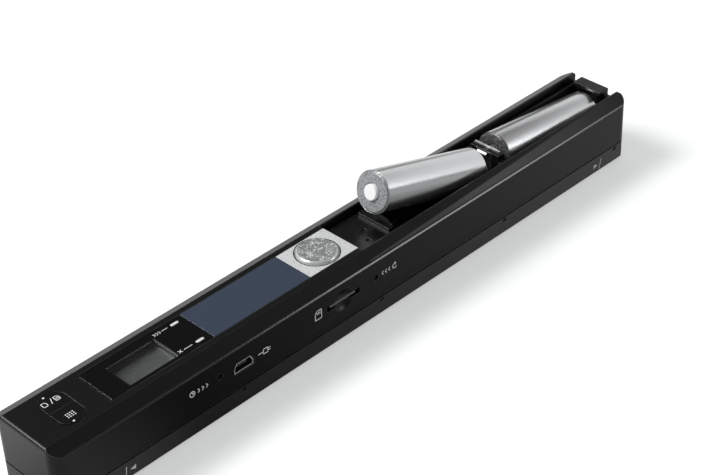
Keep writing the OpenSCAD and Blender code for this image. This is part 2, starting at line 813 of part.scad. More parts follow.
module key_board() {
    color([0.1, 0.3, 0.16]) difference() {
        block([key_board_x0, -key_board_half, key_board_under],
            [board_x1, key_board_half, key_board_z]);
        for (x = key_boss_x, s = [-1, 1])
            rod_z(x, s * key_boss_y, key_board_under - over, key_board_z + over, screw_r + screw_gap);
    }
}

module main_board() {
    ear_l = 3;
    ear_x = format_x + ear_l;
    ear_y = tray_half + air;
    color([0.1, 0.32, 0.18]) difference() {
        union() {
            block([board_x0, -board_half, board_under], [board_x1, board_half, board_z]);
            block([board_x1 - over, -board_half, board_under], [ear_x, -ear_y, board_z]);
        }
        for (x = board_screw_x, s = [-1, 1])
            rod_z(x, s * board_screw_y, board_under - over, board_z + over, screw_r + screw_gap);
    }
}

chip_inset = [35, 79, 7];
chip_x = [for (d = chip_inset) board_x0 + d];
chip_w = [12, 9, 5];
chip_t = 1.4;

module board_chips() {
    color([0.12, 0.12, 0.13]) for (i = [0 : len(chip_x) - 1])
        block([chip_x[i] - chip_w[i] / 2, -chip_w[i] / 2, board_z],
            [chip_x[i] + chip_w[i] / 2, chip_w[i] / 2, board_z + chip_t]);
}

usb_wall = 0.3;
usb_depth = 8.6;
usb_recess = 0.25;
usb_back = 1;
socket_y0 = -half_w + usb_recess;

module usb_socket() {
    color([0.75, 0.75, 0.77]) translate([usb_x, 0, board_z]) difference() {
        along_y(socket_y0, socket_y0 + usb_depth) usb_outline(0);
        along_y(socket_y0 - over, socket_y0 + usb_depth - usb_back) usb_outline(-usb_wall);
    }
}

module usb_tongue() {
    tongue_w = 3.9;
    tongue_t = 0.9;
    tongue_recess = 0.8;
    color([0.08, 0.08, 0.08]) translate([usb_x, 0, board_z + usb_h / 2 - tongue_t / 2])
        block([-tongue_w / 2, socket_y0 + tongue_recess, 0],
            [tongue_w / 2, socket_y0 + usb_depth - usb_back, tongue_t]);
}

card_recess = 0.5;
card_y0 = -half_w + card_recess;
card_z0 = slot_z - card_t / 2;
socket_t = 0.5;

module card_socket() {
    back = 1.6;
    side = 1.4;
    y0 = slot_boss_y + loose;
    y1 = card_y0 + card_l + back;
    w = card_w / 2 + side;
    color([0.7, 0.7, 0.72]) difference() {
        block([slot_x - w, y0, board_z], [slot_x + w, y1, slot_z + slot_h / 2]);
        block([slot_x - card_w / 2 - loose, y0 - over, card_z0 - loose],
            [slot_x + card_w / 2 + loose, card_y0 + card_l + air, card_z0 + card_t + loose]);
    }
}

// Memory card: a thin plate with a stepped side
module memory_card() {
    step_share = 0.42;
    notch = 1.2;
    color([0.12, 0.12, 0.13]) translate([slot_x, card_y0, card_z0]) {
        linear_extrude(card_t) polygon([[-card_w / 2, 0], [card_w / 2, 0],
            [card_w / 2, card_l * (1 - step_share)], [card_w / 2 - notch, card_l * (1 - step_share) + notch],
            [card_w / 2 - notch, card_l], [-card_w / 2, card_l]]);
    }
}

switch_w = 3.4;
switch_inset = 0.2;
pin_gap = 0.25;
pin_recess = 0.6;
pin_reach = 0.5;
switch_y0 = -board_half + switch_inset;
pin_r = pinhole_r - pin_gap;
pin_y0 = -half_w + pin_recess;
pin_y1 = switch_y0 + pin_reach;

module side_switches() {
    color([0.2, 0.2, 0.22]) for (x = [time_x, format_x]) difference() {
        block([x - switch_w / 2, switch_y0, board_z],
            [x + switch_w / 2, -tray_half - air, pinhole_z + pinhole_r]);
        rod_y(x, switch_y0 - over, pin_y1 + pin_travel + air, pinhole_z, pin_r + loose / 2);
    }
}

module side_pin(x) {
    rod_y(x, pin_y0, pin_y1, pinhole_z, pin_r);
}

module time_pin() { color([0.6, 0.6, 0.6]) side_pin(time_x); }

module format_pin() { color([0.6, 0.6, 0.6]) side_pin(format_x); }

// Cell bay

shelf_t = 1.2;
catch_out = 8.3;
catch_x = plate_end_x + catch_out;
catch_l = 3;
catch_w = 1.4;
catch_d = 0.6;
rib_gap = 1.1;

// Round-bottomed bay for one cell
module bay(x0, x1) {
    axis_z = seat_z;
    rod_x(x0, x1, 0, axis_z, bay_r);
    block([x0, -bay_r, axis_z], [x1, bay_r, body_h + over]);
}

module battery_tray() {
    x0 = plate_end_x + loose;
    x1 = in_x - loose;
    color([0.06, 0.06, 0.07]) {
        tray_body(x0, x1);
        block([block_x0, -block_half, seat_z + cell_r + air], [block_x1, block_half, body_h]);
        for (s = [-1, 1]) mirror([0, s < 0 ? 1 : 0, 0])
            block([divider_x1 - over, contact_w / 2 + rib_gap, seat_z], [rib_x1, divider_half, body_h]);
    }
}

module tray_body(x0, x1) {
    difference() {
        union() {
            block([x0, -tray_half, tray_z], [x1, tray_half, shelf_z]);
            block([bay_x0 - ridge_t, -ridge_half, shelf_z - over], [bay_x0, ridge_half, ridge_z]);
            block([divider_x0, -divider_half, shelf_z - over], [divider_x1, divider_half, body_h]);
            block([bay_x1, -block_half, sill_z + loose], [block_x1, block_half, body_h]);
            for (s = [-1, 1])
                rod_z(case_screw_x, s * case_screw_y, case_seat_z, tray_z + over, case_post_r);
        }
        bay(bay_x0, divider_x0);
        bay(divider_x1, bay_x1);
        block([x0 + shelf_t, -tray_half + shelf_t, tray_z - over],
            [bay_x0 - ridge_t, tray_half - shelf_t, shelf_z - shelf_t]);
        block([catch_x, -catch_w / 2, shelf_z - catch_d], [catch_x + catch_l, catch_w / 2, shelf_z + over]);
        block([catch_x - catch_w, -ridge_half + catch_w, shelf_z - catch_d],
            [catch_x, -ridge_half + 2 * catch_w, shelf_z + over]);
        for (s = [-1, 1])
            rod_z(case_screw_x, s * case_screw_y, case_seat_z - over, case_seat_z + screw_bore_l,
                screw_r + screw_gap);
    }
}

contact_drop = 5.35;
contact_z0 = seat_z - contact_drop;
dimple_r = 2.2;
dimple_h = 0.5;
strap_w = 1.6;
leaf_w = 4;
finger_w = 0.8;
finger_l = 2.8;
arch_r = 5.1;
arch_y = -1.8;
// The arch reaches up to the underside of the first cell as it lies there
arch_gap = 0.4945;
cell_under_z = cell_1_z + (cell_1_x - bay_x0) * tan(cell_1_tilt) - 2 * cell_r / cos(cell_1_tilt);
arch_z = cell_under_z - arch_gap - arch_r;

// Plate against the left wall of the first bay, with a pressed dimple, a round top that
// stands above the ridge and a bent finger
module positive_contact() {
    t = strip_metal_t;
    finger_rise = 3;
    finger_top = arch_z + finger_rise;
    color([0.8, 0.8, 0.82]) {
        block([bay_x0, -contact_w / 2, contact_z0], [bay_x0 + t, contact_w / 2, arch_z]);
        rod_x(bay_x0, bay_x0 + t, arch_y, arch_z, arch_r);
        block([bay_x0, arch_y - arch_r * 3 / 4, finger_top - t],
            [bay_x0 + finger_l, arch_y - arch_r * 3 / 4 + finger_w, finger_top]);
        rod_x(bay_x0, bay_x0 + t + dimple_h, 0, seat_z, dimple_r);
    }
}

// Clip over the divider that joins the two cells: a plate on each side, a strap, two
// pressed lips and a curled leaf at the top
module link_contact() {
    t = strip_metal_t;
    x0 = divider_x0 - t;
    x1 = divider_x1 + t;
    lip_x0 = x1 - 3 * t;
    lip_y0 = -divider_half * 3 / 4;
    curl_r = 1.6;
    color([0.8, 0.8, 0.82]) {
        block([x0, -contact_w / 2, contact_z0], [divider_x0, contact_w / 2, body_h + t / 2]);
        block([divider_x1, -contact_w / 2, contact_z0], [x1, contact_w / 2, body_h + t]);
        block([x0, -strap_w / 2, body_h], [x1, strap_w / 2, body_h + t / 2]);
        block([lip_x0, lip_y0, body_h], [x1, divider_half, body_h + t / 2]);
        for (x = [lip_x0, divider_x1]) block([x, lip_y0, body_h], [x + t * 2 / 3, divider_half, body_h + t]);
        difference() {
            rod_y(x0, -leaf_w / 2, leaf_w / 2, body_h + t - curl_r, curl_r);
            rod_y(x0, -leaf_w, leaf_w, body_h + t - curl_r, curl_r - t);
            block([x0 + t / 2, -leaf_w, shelf_z - curl_r], [x0 + 2 * curl_r, leaf_w, body_h + 2 * t]);
            block([x0 - 2 * curl_r, -leaf_w, body_h - 3 * curl_r],
                [x0 + curl_r, leaf_w, body_h + t - curl_r]);
        }
    }
}

module end_contact() {
    color([0.8, 0.8, 0.82])
        block([bay_x1 - strip_metal_t, -contact_w / 2, contact_z0], [bay_x1, contact_w / 2, shelf_z]);
}

// Wound springs: one tube swept along a conical helix about the X axis

ring_n = 8;
side_n = 6;

// Path of a spring: base at x0, tip at x0 - l, with the wire's ends square to their seats
function spring_path(x0, l, turns) = let (
        steps = round(turns * ring_n),
        rise = l - 2 * wire_d)
    concat(
        [[x0, spring_r, 0], [x0 - wire_d, spring_r, 0]],
        [for (i = [1 : steps]) let (
            f = i / steps,
            a = 360 * turns * f,
            r = spring_r + (spring_tip_r - spring_r) * f)
            [x0 - wire_d - rise * f, r * cos(a), r * sin(a)]],
        [[x0 - l, spring_tip_r * cos(360 * turns), spring_tip_r * sin(360 * turns)]]);

function unit(v) = v / norm(v);
function path_dir(p, i) = unit(p[min(i + 1, len(p) - 1)] - p[max(i - 1, 0)]);

// Rings of points round the path, each square to it
function tube_points(p) = [for (i = [0 : len(p) - 1]) let (
        d = i == 0 || i == len(p) - 1 ? [-1, 0, 0] : path_dir(p, i),
        out = unit([0, p[i][1], p[i][2]]),
        u = unit(out - d * (out * d)),
        v = cross(d, u))
    for (k = [0 : side_n - 1]) let (a = 360 * k / side_n)
        p[i] + wire_d / 2 * (u * cos(a) + v * sin(a))];

function tube_faces(n) = concat(
    [for (k = [1 : side_n - 2]) [0, k + 1, k]],
    [for (k = [1 : side_n - 2]) let (b = (n - 1) * side_n) [b, b + k, b + k + 1]],
    [for (i = [0 : n - 2], k = [0 : side_n - 1]) let (
        a = i * side_n + k, b = i * side_n + (k + 1) % side_n) [a, b, a + side_n]],
    [for (i = [0 : n - 2], k = [0 : side_n - 1]) let (
        a = i * side_n + k, b = i * side_n + (k + 1) % side_n) [b, b + side_n, a + side_n]]);

module wound_spring(x0, l, turns) {
    path = spring_path(x0, l, turns);
    color([0.82, 0.82, 0.84]) translate([0, 0, seat_z])
        polyhedron(points = tube_points(path), faces = tube_faces(len(path)));
}

// Least gap between a spring's wire and its own other turns
function self_gap(x0, l, turns) = let (p = spring_path(x0, l, turns))
    min([for (i = [0 : len(p) - 1], j = [i + 5 : len(p) - 1 + 5])
        if (j < len(p)) norm(p[i] - p[j])]) - wire_d;

module spring_1() {
    x0 = divider_x0 - strip_metal_t;
    echo("least gap in spring_1", self_gap(x0, spring_1_l, spring_1_turns));
    wound_spring(x0, spring_1_l, spring_1_turns);
}

module spring_2() {
    x0 = bay_x1 - strip_metal_t;
    echo("least gap in spring_2", self_gap(x0, spring_2_l, spring_2_turns));
    wound_spring(x0, spring_2_l, spring_2_turns);
}

// Cells: turned profiles from the raised terminal at x = 0 to the flat end at x = cell_l

module cell_can() {
    r = cell_r - jacket_t;
    edge = 0.5;
    groove_r = nub_r + 0.5;
    groove = 0.3;
    foot_ring_r = r - 1.6;
    color([0.78, 0.78, 0.8]) rotate([0, 90, 0]) rotate_extrude() polygon([
        [0, -nub_h], [nub_r - nub_h / 4, -nub_h], [nub_r, -nub_h * 3 / 4], [nub_r, groove],
        [groove_r, groove], [groove_r, 0], [r - edge, 0], [r, edge], [r, cell_l - edge],
        [r - edge, cell_l], [foot_ring_r, cell_l], [foot_ring_r - edge, cell_l - groove],
        [0, cell_l - groove]]);
}

module cell_jacket() {
    lap = 0.5;
    film_gap = 0.02;
    inner = cell_r - jacket_t + film_gap;
    color([0.8, 0.8, 0.82]) rotate([0, 90, 0]) rotate_extrude() polygon([
        [inner, lap], [cell_r, lap], [cell_r, cell_l - lap], [inner, cell_l - lap]]);
}

// Lays a cell with its right upper edge at [x, z], its terminal end raised by tilt and
// swung back by turn
module lay_cell(x, z, tilt, turn) {
    translate([x, 0, z]) rotate([0, 0, -turn]) rotate([0, tilt, 0])
        translate([-cell_l, 0, -cell_r]) children();
}

module at_cell_1() { lay_cell(cell_1_x, cell_1_z, cell_1_tilt, cell_1_turn) children(); }

module at_cell_2() { lay_cell(cell_2_x, seat_z + cell_r, cell_2_tilt, 0) children(); }

// Underside

module scan_glass() {
    color([0.75, 0.85, 0.88, 0.5]) block([glass_x0, -glass_half, floor_z - glass_t],
        [glass_x1, glass_half, floor_z]);
}

sensor_over = 1.6;
rod_half = 1.1;
rod_h = 1.6;

module sensor_bar() {
    bevel = 1.2;
    top = floor_z + sensor_h;
    color([0.15, 0.15, 0.16]) difference() {
        along_x(glass_x0 - sensor_over, glass_x1 + sensor_over) polygon([
            [-sensor_half, floor_z], [sensor_half, floor_z], [sensor_half, top - bevel],
            [sensor_half - bevel, top], [-sensor_half + bevel, top], [-sensor_half, top - bevel]]);
        block([glass_x0, -rod_half - loose, floor_z - over],
            [glass_x1, rod_half + loose, floor_z + air + rod_h]);
    }
}

module lens_rod() {
    color([0.8, 0.82, 0.85]) block([glass_x0 + sensor_over, -rod_half, floor_z + air],
        [glass_x1 - sensor_over, rod_half, floor_z + air + rod_h]);
}

gear_out = 8.6;
gear_x0 = roller_x0 - gear_out;
gear_w = 2.4;
tooth_tip_share = 0.8;
gear_tip_r = gear_module * (roller_teeth / 2 + tooth_tip_share);
shaft_x0 = gear_x0 - air;
shaft_x1 = roller_x1 + bearing_w;

module roller_shaft(s, x0) {
    color([0.75, 0.75, 0.77]) rod_x(x0, shaft_x1, s * roller_y, roller_z, shaft_r);
}

module roller_sleeves(s) {
    color([0.14, 0.14, 0.14]) for (i = [0 : sleeve_n - 1]) difference() {
        rod_x(sleeve_x(i) - sleeve_l / 2, sleeve_x(i) + sleeve_l / 2, s * roller_y, roller_z, roller_r);
        rod_x(sleeve_x(i) - sleeve_l / 2 - over, sleeve_x(i) + sleeve_l / 2 + over,
            s * roller_y, roller_z, shaft_r);
    }
}

module roller_bearings(s) {
    half = 2;
    cap = 1;
    top = roller_z + shaft_r + cap;
    color([0.85, 0.85, 0.82]) for (i = [0 : sleeve_n]) difference() {
        block([bearing_x(i) - bearing_w / 2, s * roller_y - half, floor_z],
            [bearing_x(i) + bearing_w / 2, s * roller_y + half, top]);
        rod_x(bearing_x(i) - bearing_w, bearing_x(i) + bearing_w, s * roller_y, roller_z,
            shaft_r + shaft_gap);
    }
}

module rear_shaft() { roller_shaft(1, shaft_x0); }
module rear_sleeves() { roller_sleeves(1); }
module rear_bearings() { roller_bearings(1); }
module front_shaft() { roller_shaft(-1, roller_x0 - bearing_w); }
module front_sleeves() { roller_sleeves(-1); }
module front_bearings() { roller_bearings(-1); }

// Spur gear outline with tapered teeth, turned so that tooth zero points along +X
module gear_outline(teeth) {
    pitch_r = gear_module * teeth / 2;
    tip = pitch_r + tooth_tip_share * gear_module;
    root = pitch_r - 1.1 * gear_module;
    step = 360 / teeth;
    root_share = 0.34;
    tip_share = 0.12;
    polygon([for (i = [0 : teeth - 1], c = [[-root_share, root], [-tip_share, tip],
        [tip_share, tip], [root_share, root]])
        let (a = (i + c[0]) * step) [c[1] * cos(a), c[1] * sin(a)]]);
}

gear_span = gear_module * (roller_teeth + encoder_teeth) / 2;
encoder_y = roller_y - sqrt(gear_span * gear_span - encoder_rise * encoder_rise);
encoder_z = roller_z + encoder_rise;
mesh_angle = atan2(encoder_rise, encoder_y - roller_y);
encoder_shaft_r = 0.7;
disc_out = 3.4;
disc_x0 = gear_x0 - disc_out;
disc_t = 0.5;
bracket_t = 1;
bracket_gap = 0.7;
bracket_x0 = disc_x0 - bracket_t - bracket_gap;
bracket_x1 = gear_x0 + gear_w + air;

// Turns an X-Y outline to stand square to the X axis, with its own +X towards +Y
module upright(x0, t) {
    translate([x0, 0, 0]) rotate([90, 0, 90]) linear_extrude(t) children();
}

module roller_gear() {
    color([0.9, 0.9, 0.86]) difference() {
        translate([0, roller_y, roller_z]) upright(gear_x0, gear_w)
            rotate(mesh_angle) gear_outline(roller_teeth);
        rod_x(gear_x0 - over, gear_x0 + gear_w + over, roller_y, roller_z, shaft_r);
    }
}

// Encoder gear, slotted disc and their shaft, moulded in one
module encoder_wheel() {
    slot_in = disc_r * 0.62;
    slot_out = disc_r * 0.9;
    slot_half = 0.25;
    color([0.88, 0.88, 0.84]) translate([0, encoder_y, encoder_z]) {
        upright(gear_x0, gear_w) rotate(mesh_angle + 180 + 180 / encoder_teeth)
            gear_outline(encoder_teeth);
        upright(disc_x0, disc_t) difference() {
            circle(r = disc_r);
            for (i = [0 : encoder_slots - 1]) rotate(i * 360 / encoder_slots)
                translate([slot_in, -slot_half]) square([slot_out - slot_in, 2 * slot_half]);
        }
        rod_x(bracket_x0, bracket_x1 + bracket_t, 0, 0, encoder_shaft_r);
    }
}

module encoder_bracket() {
    half = 1.8;
    cap = 1.6;
    top = encoder_z + cap;
    color([0.16, 0.16, 0.17]) difference() {
        for (x = [bracket_x0, bracket_x1])
            block([x, encoder_y - half, floor_z], [x + bracket_t, encoder_y + half, top]);
        rod_x(bracket_x0 - over, bracket_x1 + bracket_t + over, encoder_y, encoder_z,
            encoder_shaft_r + shaft_gap);
    }
}

// Light gate that hangs from the main board and straddles the disc
module encoder_sensor() {
    half = 1.6;
    cheek = 0.9;
    reach = 2;
    gate_z = encoder_z + disc_r + air;
    x0 = disc_x0 - air - cheek;
    x1 = disc_x0 + disc_t + air + cheek;
    color([0.1, 0.1, 0.1]) difference() {
        block([x0, encoder_y - half, encoder_z + disc_r - reach], [x1, encoder_y + half, board_under]);
        block([x0 + cheek, encoder_y - half - over, encoder_z],
            [x1 - cheek, encoder_y + half + over, gate_z]);
    }
}

// Fasteners

case_screw_reach = 2;

// Pan-head screw, head down, with its head's bearing face at z = 0
module screw(l) {
    cylinder(h = l, r = screw_r);
    difference() {
        rod_z(0, 0, -screw_head_h, 0, screw_head_r);
        for (a = [0, 90]) rotate(a) translate([0, 0, -screw_head_h])
            cube([screw_head_r * 1.2, screw_r / 2, screw_head_h], center = true);
    }
}

module case_screws() {
    color([0.3, 0.3, 0.32]) for (sx = [-1, 1], sy = [-1, 1])
        translate([sx * case_screw_x, sy * case_screw_y, floor_z + loose])
            screw(screw_bore_l + case_screw_reach);
}

module board_screws() {
    color([0.6, 0.6, 0.62]) {
        for (x = board_screw_x, s = [-1, 1])
            translate([x, s * board_screw_y, board_under]) screw(screw_bore_l);
        for (x = key_boss_x, s = [-1, 1])
            translate([x, s * key_boss_y, key_board_under]) screw(key_bore_l + board_t / 2);
    }
}

upper_shell();
bottom_shell();
display_lens();
display_window();
display_module();
blue_panel();
button_plate();
scan_button();
page_key();
resolution_key();
status_lights();
key_board();
scan_switch();
key_switches();
led_chips();
main_board();
board_chips();
usb_socket();
usb_tongue();
card_socket();
memory_card();
side_switches();
time_pin();
format_pin();
battery_tray();
positive_contact();
link_contact();
end_contact();
spring_1();
spring_2();
at_cell_1() cell_can();  // cell_1_can
at_cell_1() cell_jacket();  // cell_1_jacket
at_cell_2() cell_can();  // cell_2_can
at_cell_2() cell_jacket();  // cell_2_jacket
scan_glass();
sensor_bar();
lens_rod();
rear_shaft();
rear_sleeves();
rear_bearings();
roller_gear();
front_shaft();
front_sleeves();
front_bearings();
encoder_wheel();
encoder_bracket();
encoder_sensor();
case_screws();
board_screws();
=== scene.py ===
# Hand-held scanner with its cell bay open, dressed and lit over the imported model.
import json
import math

import bmesh
import bpy
from mathutils import Matrix, Vector
from mathutils.bvhtree import BVHTree

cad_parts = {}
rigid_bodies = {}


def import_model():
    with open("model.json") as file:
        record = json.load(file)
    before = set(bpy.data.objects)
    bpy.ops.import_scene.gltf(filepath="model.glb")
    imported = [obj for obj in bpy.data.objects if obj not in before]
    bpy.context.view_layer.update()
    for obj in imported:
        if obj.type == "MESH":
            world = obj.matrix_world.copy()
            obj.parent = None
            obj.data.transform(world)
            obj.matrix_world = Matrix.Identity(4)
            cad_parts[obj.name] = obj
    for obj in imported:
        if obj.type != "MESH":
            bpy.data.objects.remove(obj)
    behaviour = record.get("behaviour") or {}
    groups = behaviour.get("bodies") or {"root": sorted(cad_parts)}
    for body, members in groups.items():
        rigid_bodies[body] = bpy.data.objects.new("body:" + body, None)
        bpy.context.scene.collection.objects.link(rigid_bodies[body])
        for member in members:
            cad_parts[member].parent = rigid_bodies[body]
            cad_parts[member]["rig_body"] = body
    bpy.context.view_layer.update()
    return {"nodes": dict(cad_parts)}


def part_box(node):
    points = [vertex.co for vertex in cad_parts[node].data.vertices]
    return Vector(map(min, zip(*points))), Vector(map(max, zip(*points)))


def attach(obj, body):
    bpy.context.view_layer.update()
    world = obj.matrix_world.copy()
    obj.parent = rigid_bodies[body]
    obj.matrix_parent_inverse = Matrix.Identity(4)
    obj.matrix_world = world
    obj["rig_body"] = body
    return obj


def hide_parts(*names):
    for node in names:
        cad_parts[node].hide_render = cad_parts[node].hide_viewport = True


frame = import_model()
nodes = frame["nodes"]
mm = 0.001
scene = bpy.context.scene

# View, lamps and table

view = {
    "azimuth": -44.03,  # degrees round the object, 0 looks along +Y
    "elevation": 35.533,
    "roll": -2.276,
    "target": (16.08, 11.11, 11.82),  # mm
    "distance": 609.65,  # mm
    "lens": 92.70,  # mm
    "sensor": 36,  # mm
    "clip": (0.01, 20),  # m
}


def makeCamera(v):
    a, e, r = (math.radians(v[k]) for k in ("azimuth", "elevation", "roll"))
    back = Vector((math.sin(a) * math.cos(e), -math.cos(a) * math.cos(e), math.sin(e)))
    right = (-back).cross(Vector((0, 0, 1))).normalized()
    up = right.cross(-back).normalized()
    tiltedRight = right * math.cos(r) + up * math.sin(r)
    tiltedUp = up * math.cos(r) - right * math.sin(r)
    turn = Matrix((tiltedRight, tiltedUp, back)).transposed().to_4x4()
    data = bpy.data.cameras.new("camera")
    data.lens, data.sensor_width = v["lens"], v["sensor"]
    data.clip_start, data.clip_end = v["clip"]
    camera = bpy.data.objects.new("camera", data)
    place = Vector(v["target"]) + back * v["distance"]
    camera.matrix_world = Matrix.Translation(place * mm) @ turn
    scene.collection.objects.link(camera)
    scene.camera = camera


studio = {
    "skyStrength": 0.085,  # what glossy rays meet above the table
    "skyFill": 0.30,  # what lights the matt surfaces
    "floorHalf": 6.0,  # m
    "floorTone": 0.8,
    "floorTint": (0.97, 1.0, 1.01),
    "floorGlow": 0.42,  # added where the camera sees the floor
    "floorPaintedReflectionLeft": (-0.11, -0.065, 0.34, 0.0),  # painted reflection: tone of the floor for glossy rays, by X: X, X, tone, tone
    "floorPaintedReflectionRight": (-0.065, 0.14, 0.05, 0.42),
    "floorPaintedReflectionBack": 0.88,
    "floorPaintedReflectionFade": (0.0, 0.03),  # Y, where the tone in front turns into the one behind
}

# Each lamp: place and aim in m, size in m, power in W, and what rays it serves
lamps = {
    "keyLamp": {"place": (-0.90, 0.78, 1.28), "aim": (0, 0, 0), "size": (0.75, 0.75), "power": 25.0},
    "fillLamp": {"place": (-0.5, -1.2, 1.3), "aim": (0, 0, 0), "size": (1.0, 1.0), "power": 2.5,
                 "glossy": False},
    "slopeCard": {"place": (0.34, -0.08, 0.36), "aim": (0.1, -0.01, 0.02), "size": (0.22, 0.22),
                  "power": 0.02, "diffuse": False},
    "cellCard": {"place": (0.55, -0.02, 0.20), "aim": (0.04, 0, 0.04), "size": (0.8, 0.26),
                 "power": 0.53, "diffuse": False},
    "edgeCard": {"place": (0.41, -0.47, 0.25), "aim": (0.05, -0.015, 0.02), "size": (0.22, 0.2),
                 "power": 0.55, "diffuse": False},
}


def makeLamp(name, p):
    data = bpy.data.lights.new(name, "AREA")
    data.shape, data.energy = "RECTANGLE", p["power"]
    data.size, data.size_y = p["size"]
    lamp = bpy.data.objects.new(name, data)
    lamp.location = p["place"]
    lamp.rotation_mode = "QUATERNION"
    lamp.rotation_quaternion = (Vector(p["aim"]) - Vector(p["place"])).to_track_quat("-Z", "Y")
    lamp.visible_diffuse = p.get("diffuse", True)
    lamp.visible_glossy = p.get("glossy", True)
    scene.collection.objects.link(lamp)


def setSocket(tree, socket, value):
    # the value is a number, a colour, or another node's output
    if isinstance(value, (int, float)):
        socket.default_value = value
    elif isinstance(value, tuple):
        socket.default_value = value if len(value) == 4 else value + (1,)
    else:
        tree.links.new(value, socket)


def mathNode(tree, operation, a, b):
    node = tree.nodes.new("ShaderNodeMath")
    node.operation = operation
    setSocket(tree, node.inputs[0], a)
    setSocket(tree, node.inputs[1], b)
    return node.outputs[0]


def remap(tree, value, low, high, outLow, outHigh):
    node = tree.nodes.new("ShaderNodeMapRange")
    labels = ("Value", "From Min", "From Max", "To Min", "To Max")
    for label, v in zip(labels, (value, low, high, outLow, outHigh)):
        setSocket(tree, node.inputs[label], v)
    return node.outputs["Result"]


def noiseNode(tree, vector, scale, detail=2.0, rough=0.5):
    node = tree.nodes.new("ShaderNodeTexNoise")
    for label, v in (("Vector", vector), ("Scale", scale), ("Detail", detail), ("Roughness", rough)):
        setSocket(tree, node.inputs[label], v)
    return node.outputs["Fac"]


def mixColors(tree, factor, a, b):
    mix = tree.nodes.new("ShaderNodeMix")
    mix.data_type = "RGBA"
    sockets = [mix.inputs[0]] + [s for s in mix.inputs if s.type == "RGBA"]
    for socket, v in zip(sockets, (factor, a, b)):
        setSocket(tree, socket, v)
    return next(s for s in mix.outputs if s.type == "RGBA")


def mixShaders(tree, factor, a, b):
    mix = tree.nodes.new("ShaderNodeMixShader")
    for socket, v in zip(mix.inputs, (factor, a, b)):
        tree.links.new(v, socket)
    return mix.outputs[0]


def objectPlace(tree):
    return tree.nodes.new("ShaderNodeTexCoord").outputs["Object"]


def objectAxes(tree):
    split = tree.nodes.new("ShaderNodeSeparateXYZ")
    tree.links.new(objectPlace(tree), split.inputs[0])
    return split.outputs


def makeWorld(p):
    world = bpy.data.worlds.new("studio")
    scene.world = world
    world.use_nodes = True
    tree = world.node_tree
    tree.nodes.clear()
    out = tree.nodes.new("ShaderNodeOutputWorld")
    sky = tree.nodes.new("ShaderNodeBackground")
    path = tree.nodes.new("ShaderNodeLightPath")
    fill = remap(tree, path.outputs["Is Glossy Ray"], 0.0, 1.0, p["skyFill"], p["skyStrength"])
    strength = mathNode(tree, "MAXIMUM", fill, path.outputs["Is Camera Ray"])
    sky.inputs["Color"].default_value = (1, 1, 1, 1)
    tree.links.new(strength, sky.inputs["Strength"])
    tree.links.new(sky.outputs[0], out.inputs["Surface"])


def floorStrength(tree, path, p):
    # what the floor adds for the camera, and a painted reflection: tones set by place that glossy rays meet
    # instead of the matt part
    seen = mathNode(tree, "MAXIMUM", path["Is Camera Ray"], path["Is Transmission Ray"])
    axes = objectAxes(tree)
    front = mathNode(tree, "MAXIMUM", remap(tree, axes["X"], *p["floorPaintedReflectionLeft"]),
                     remap(tree, axes["X"], *p["floorPaintedReflectionRight"]))
    behind = remap(tree, axes["Y"], *p["floorPaintedReflectionFade"], 0.0, 1.0)
    toned = remap(tree, behind, 0.0, 1.0, front, p["floorPaintedReflectionBack"])
    paintedReflection = mathNode(tree, "MULTIPLY", toned, path["Is Glossy Ray"])
    return mathNode(tree, "ADD", mathNode(tree, "MULTIPLY", seen, p["floorGlow"]), paintedReflection)


def makeFloor(p):
    mesh = bpy.data.meshes.new("floor")
    s = p["floorHalf"]
    mesh.from_pydata([(-s, -s, 0), (s, -s, 0), (s, s, 0), (-s, s, 0)], [], [(0, 1, 2, 3)])
    floor = bpy.data.objects.new("floor", mesh)
    scene.collection.objects.link(floor)
    mat = bpy.data.materials.new("paleTable")
    mat.use_nodes = True
    tree = mat.node_tree
    tree.nodes.clear()
    out = tree.nodes.new("ShaderNodeOutputMaterial")
    path = tree.nodes.new("ShaderNodeLightPath").outputs
    matte = tree.nodes.new("ShaderNodeBsdfDiffuse")
    matte.inputs["Color"].default_value = tuple(p["floorTone"] * c for c in p["floorTint"]) + (1,)
    hidden = tree.nodes.new("ShaderNodeBsdfDiffuse")
    hidden.inputs["Color"].default_value = (0, 0, 0, 1)
    glow = tree.nodes.new("ShaderNodeEmission")
    glow.inputs["Color"].default_value = (1, 1, 1, 1)
    tree.links.new(floorStrength(tree, path, p), glow.inputs["Strength"])
    both = tree.nodes.new("ShaderNodeAddShader")
    # glossy rays meet no matt floor here, only the painted reflection tones
    surfaceOnly = mixShaders(tree, path["Is Glossy Ray"], matte.outputs[0], hidden.outputs[0])
    tree.links.new(surfaceOnly, both.inputs[0])
    tree.links.new(glow.outputs[0], both.inputs[1])
    tree.links.new(both.outputs[0], out.inputs["Surface"])
    mesh.materials.append(mat)


scene.view_settings.view_transform = "Standard"
makeCamera(view)
makeWorld(studio)
makeFloor(studio)
for lampName, lampValues in lamps.items():
    makeLamp(lampName, lampValues)
print("camera and studio made")

# Surface effects that several finishes share


def newGroup(name, ins, outs):
    group = bpy.data.node_groups.new(name, "ShaderNodeTree")
    for label, kind, value in ins:
        socket = group.interface.new_socket(label, in_out="INPUT", socket_type=kind)
        socket.default_value = value
    for label, kind in outs:
        group.interface.new_socket(label, in_out="OUTPUT", socket_type=kind)
    return group, group.nodes.new("NodeGroupInput"), group.nodes.new("NodeGroupOutput")


grainLook = {
    "detail": 3.0, "rough": 0.6,
    "driftScale": 60.0,  # waves of gloss per metre
}


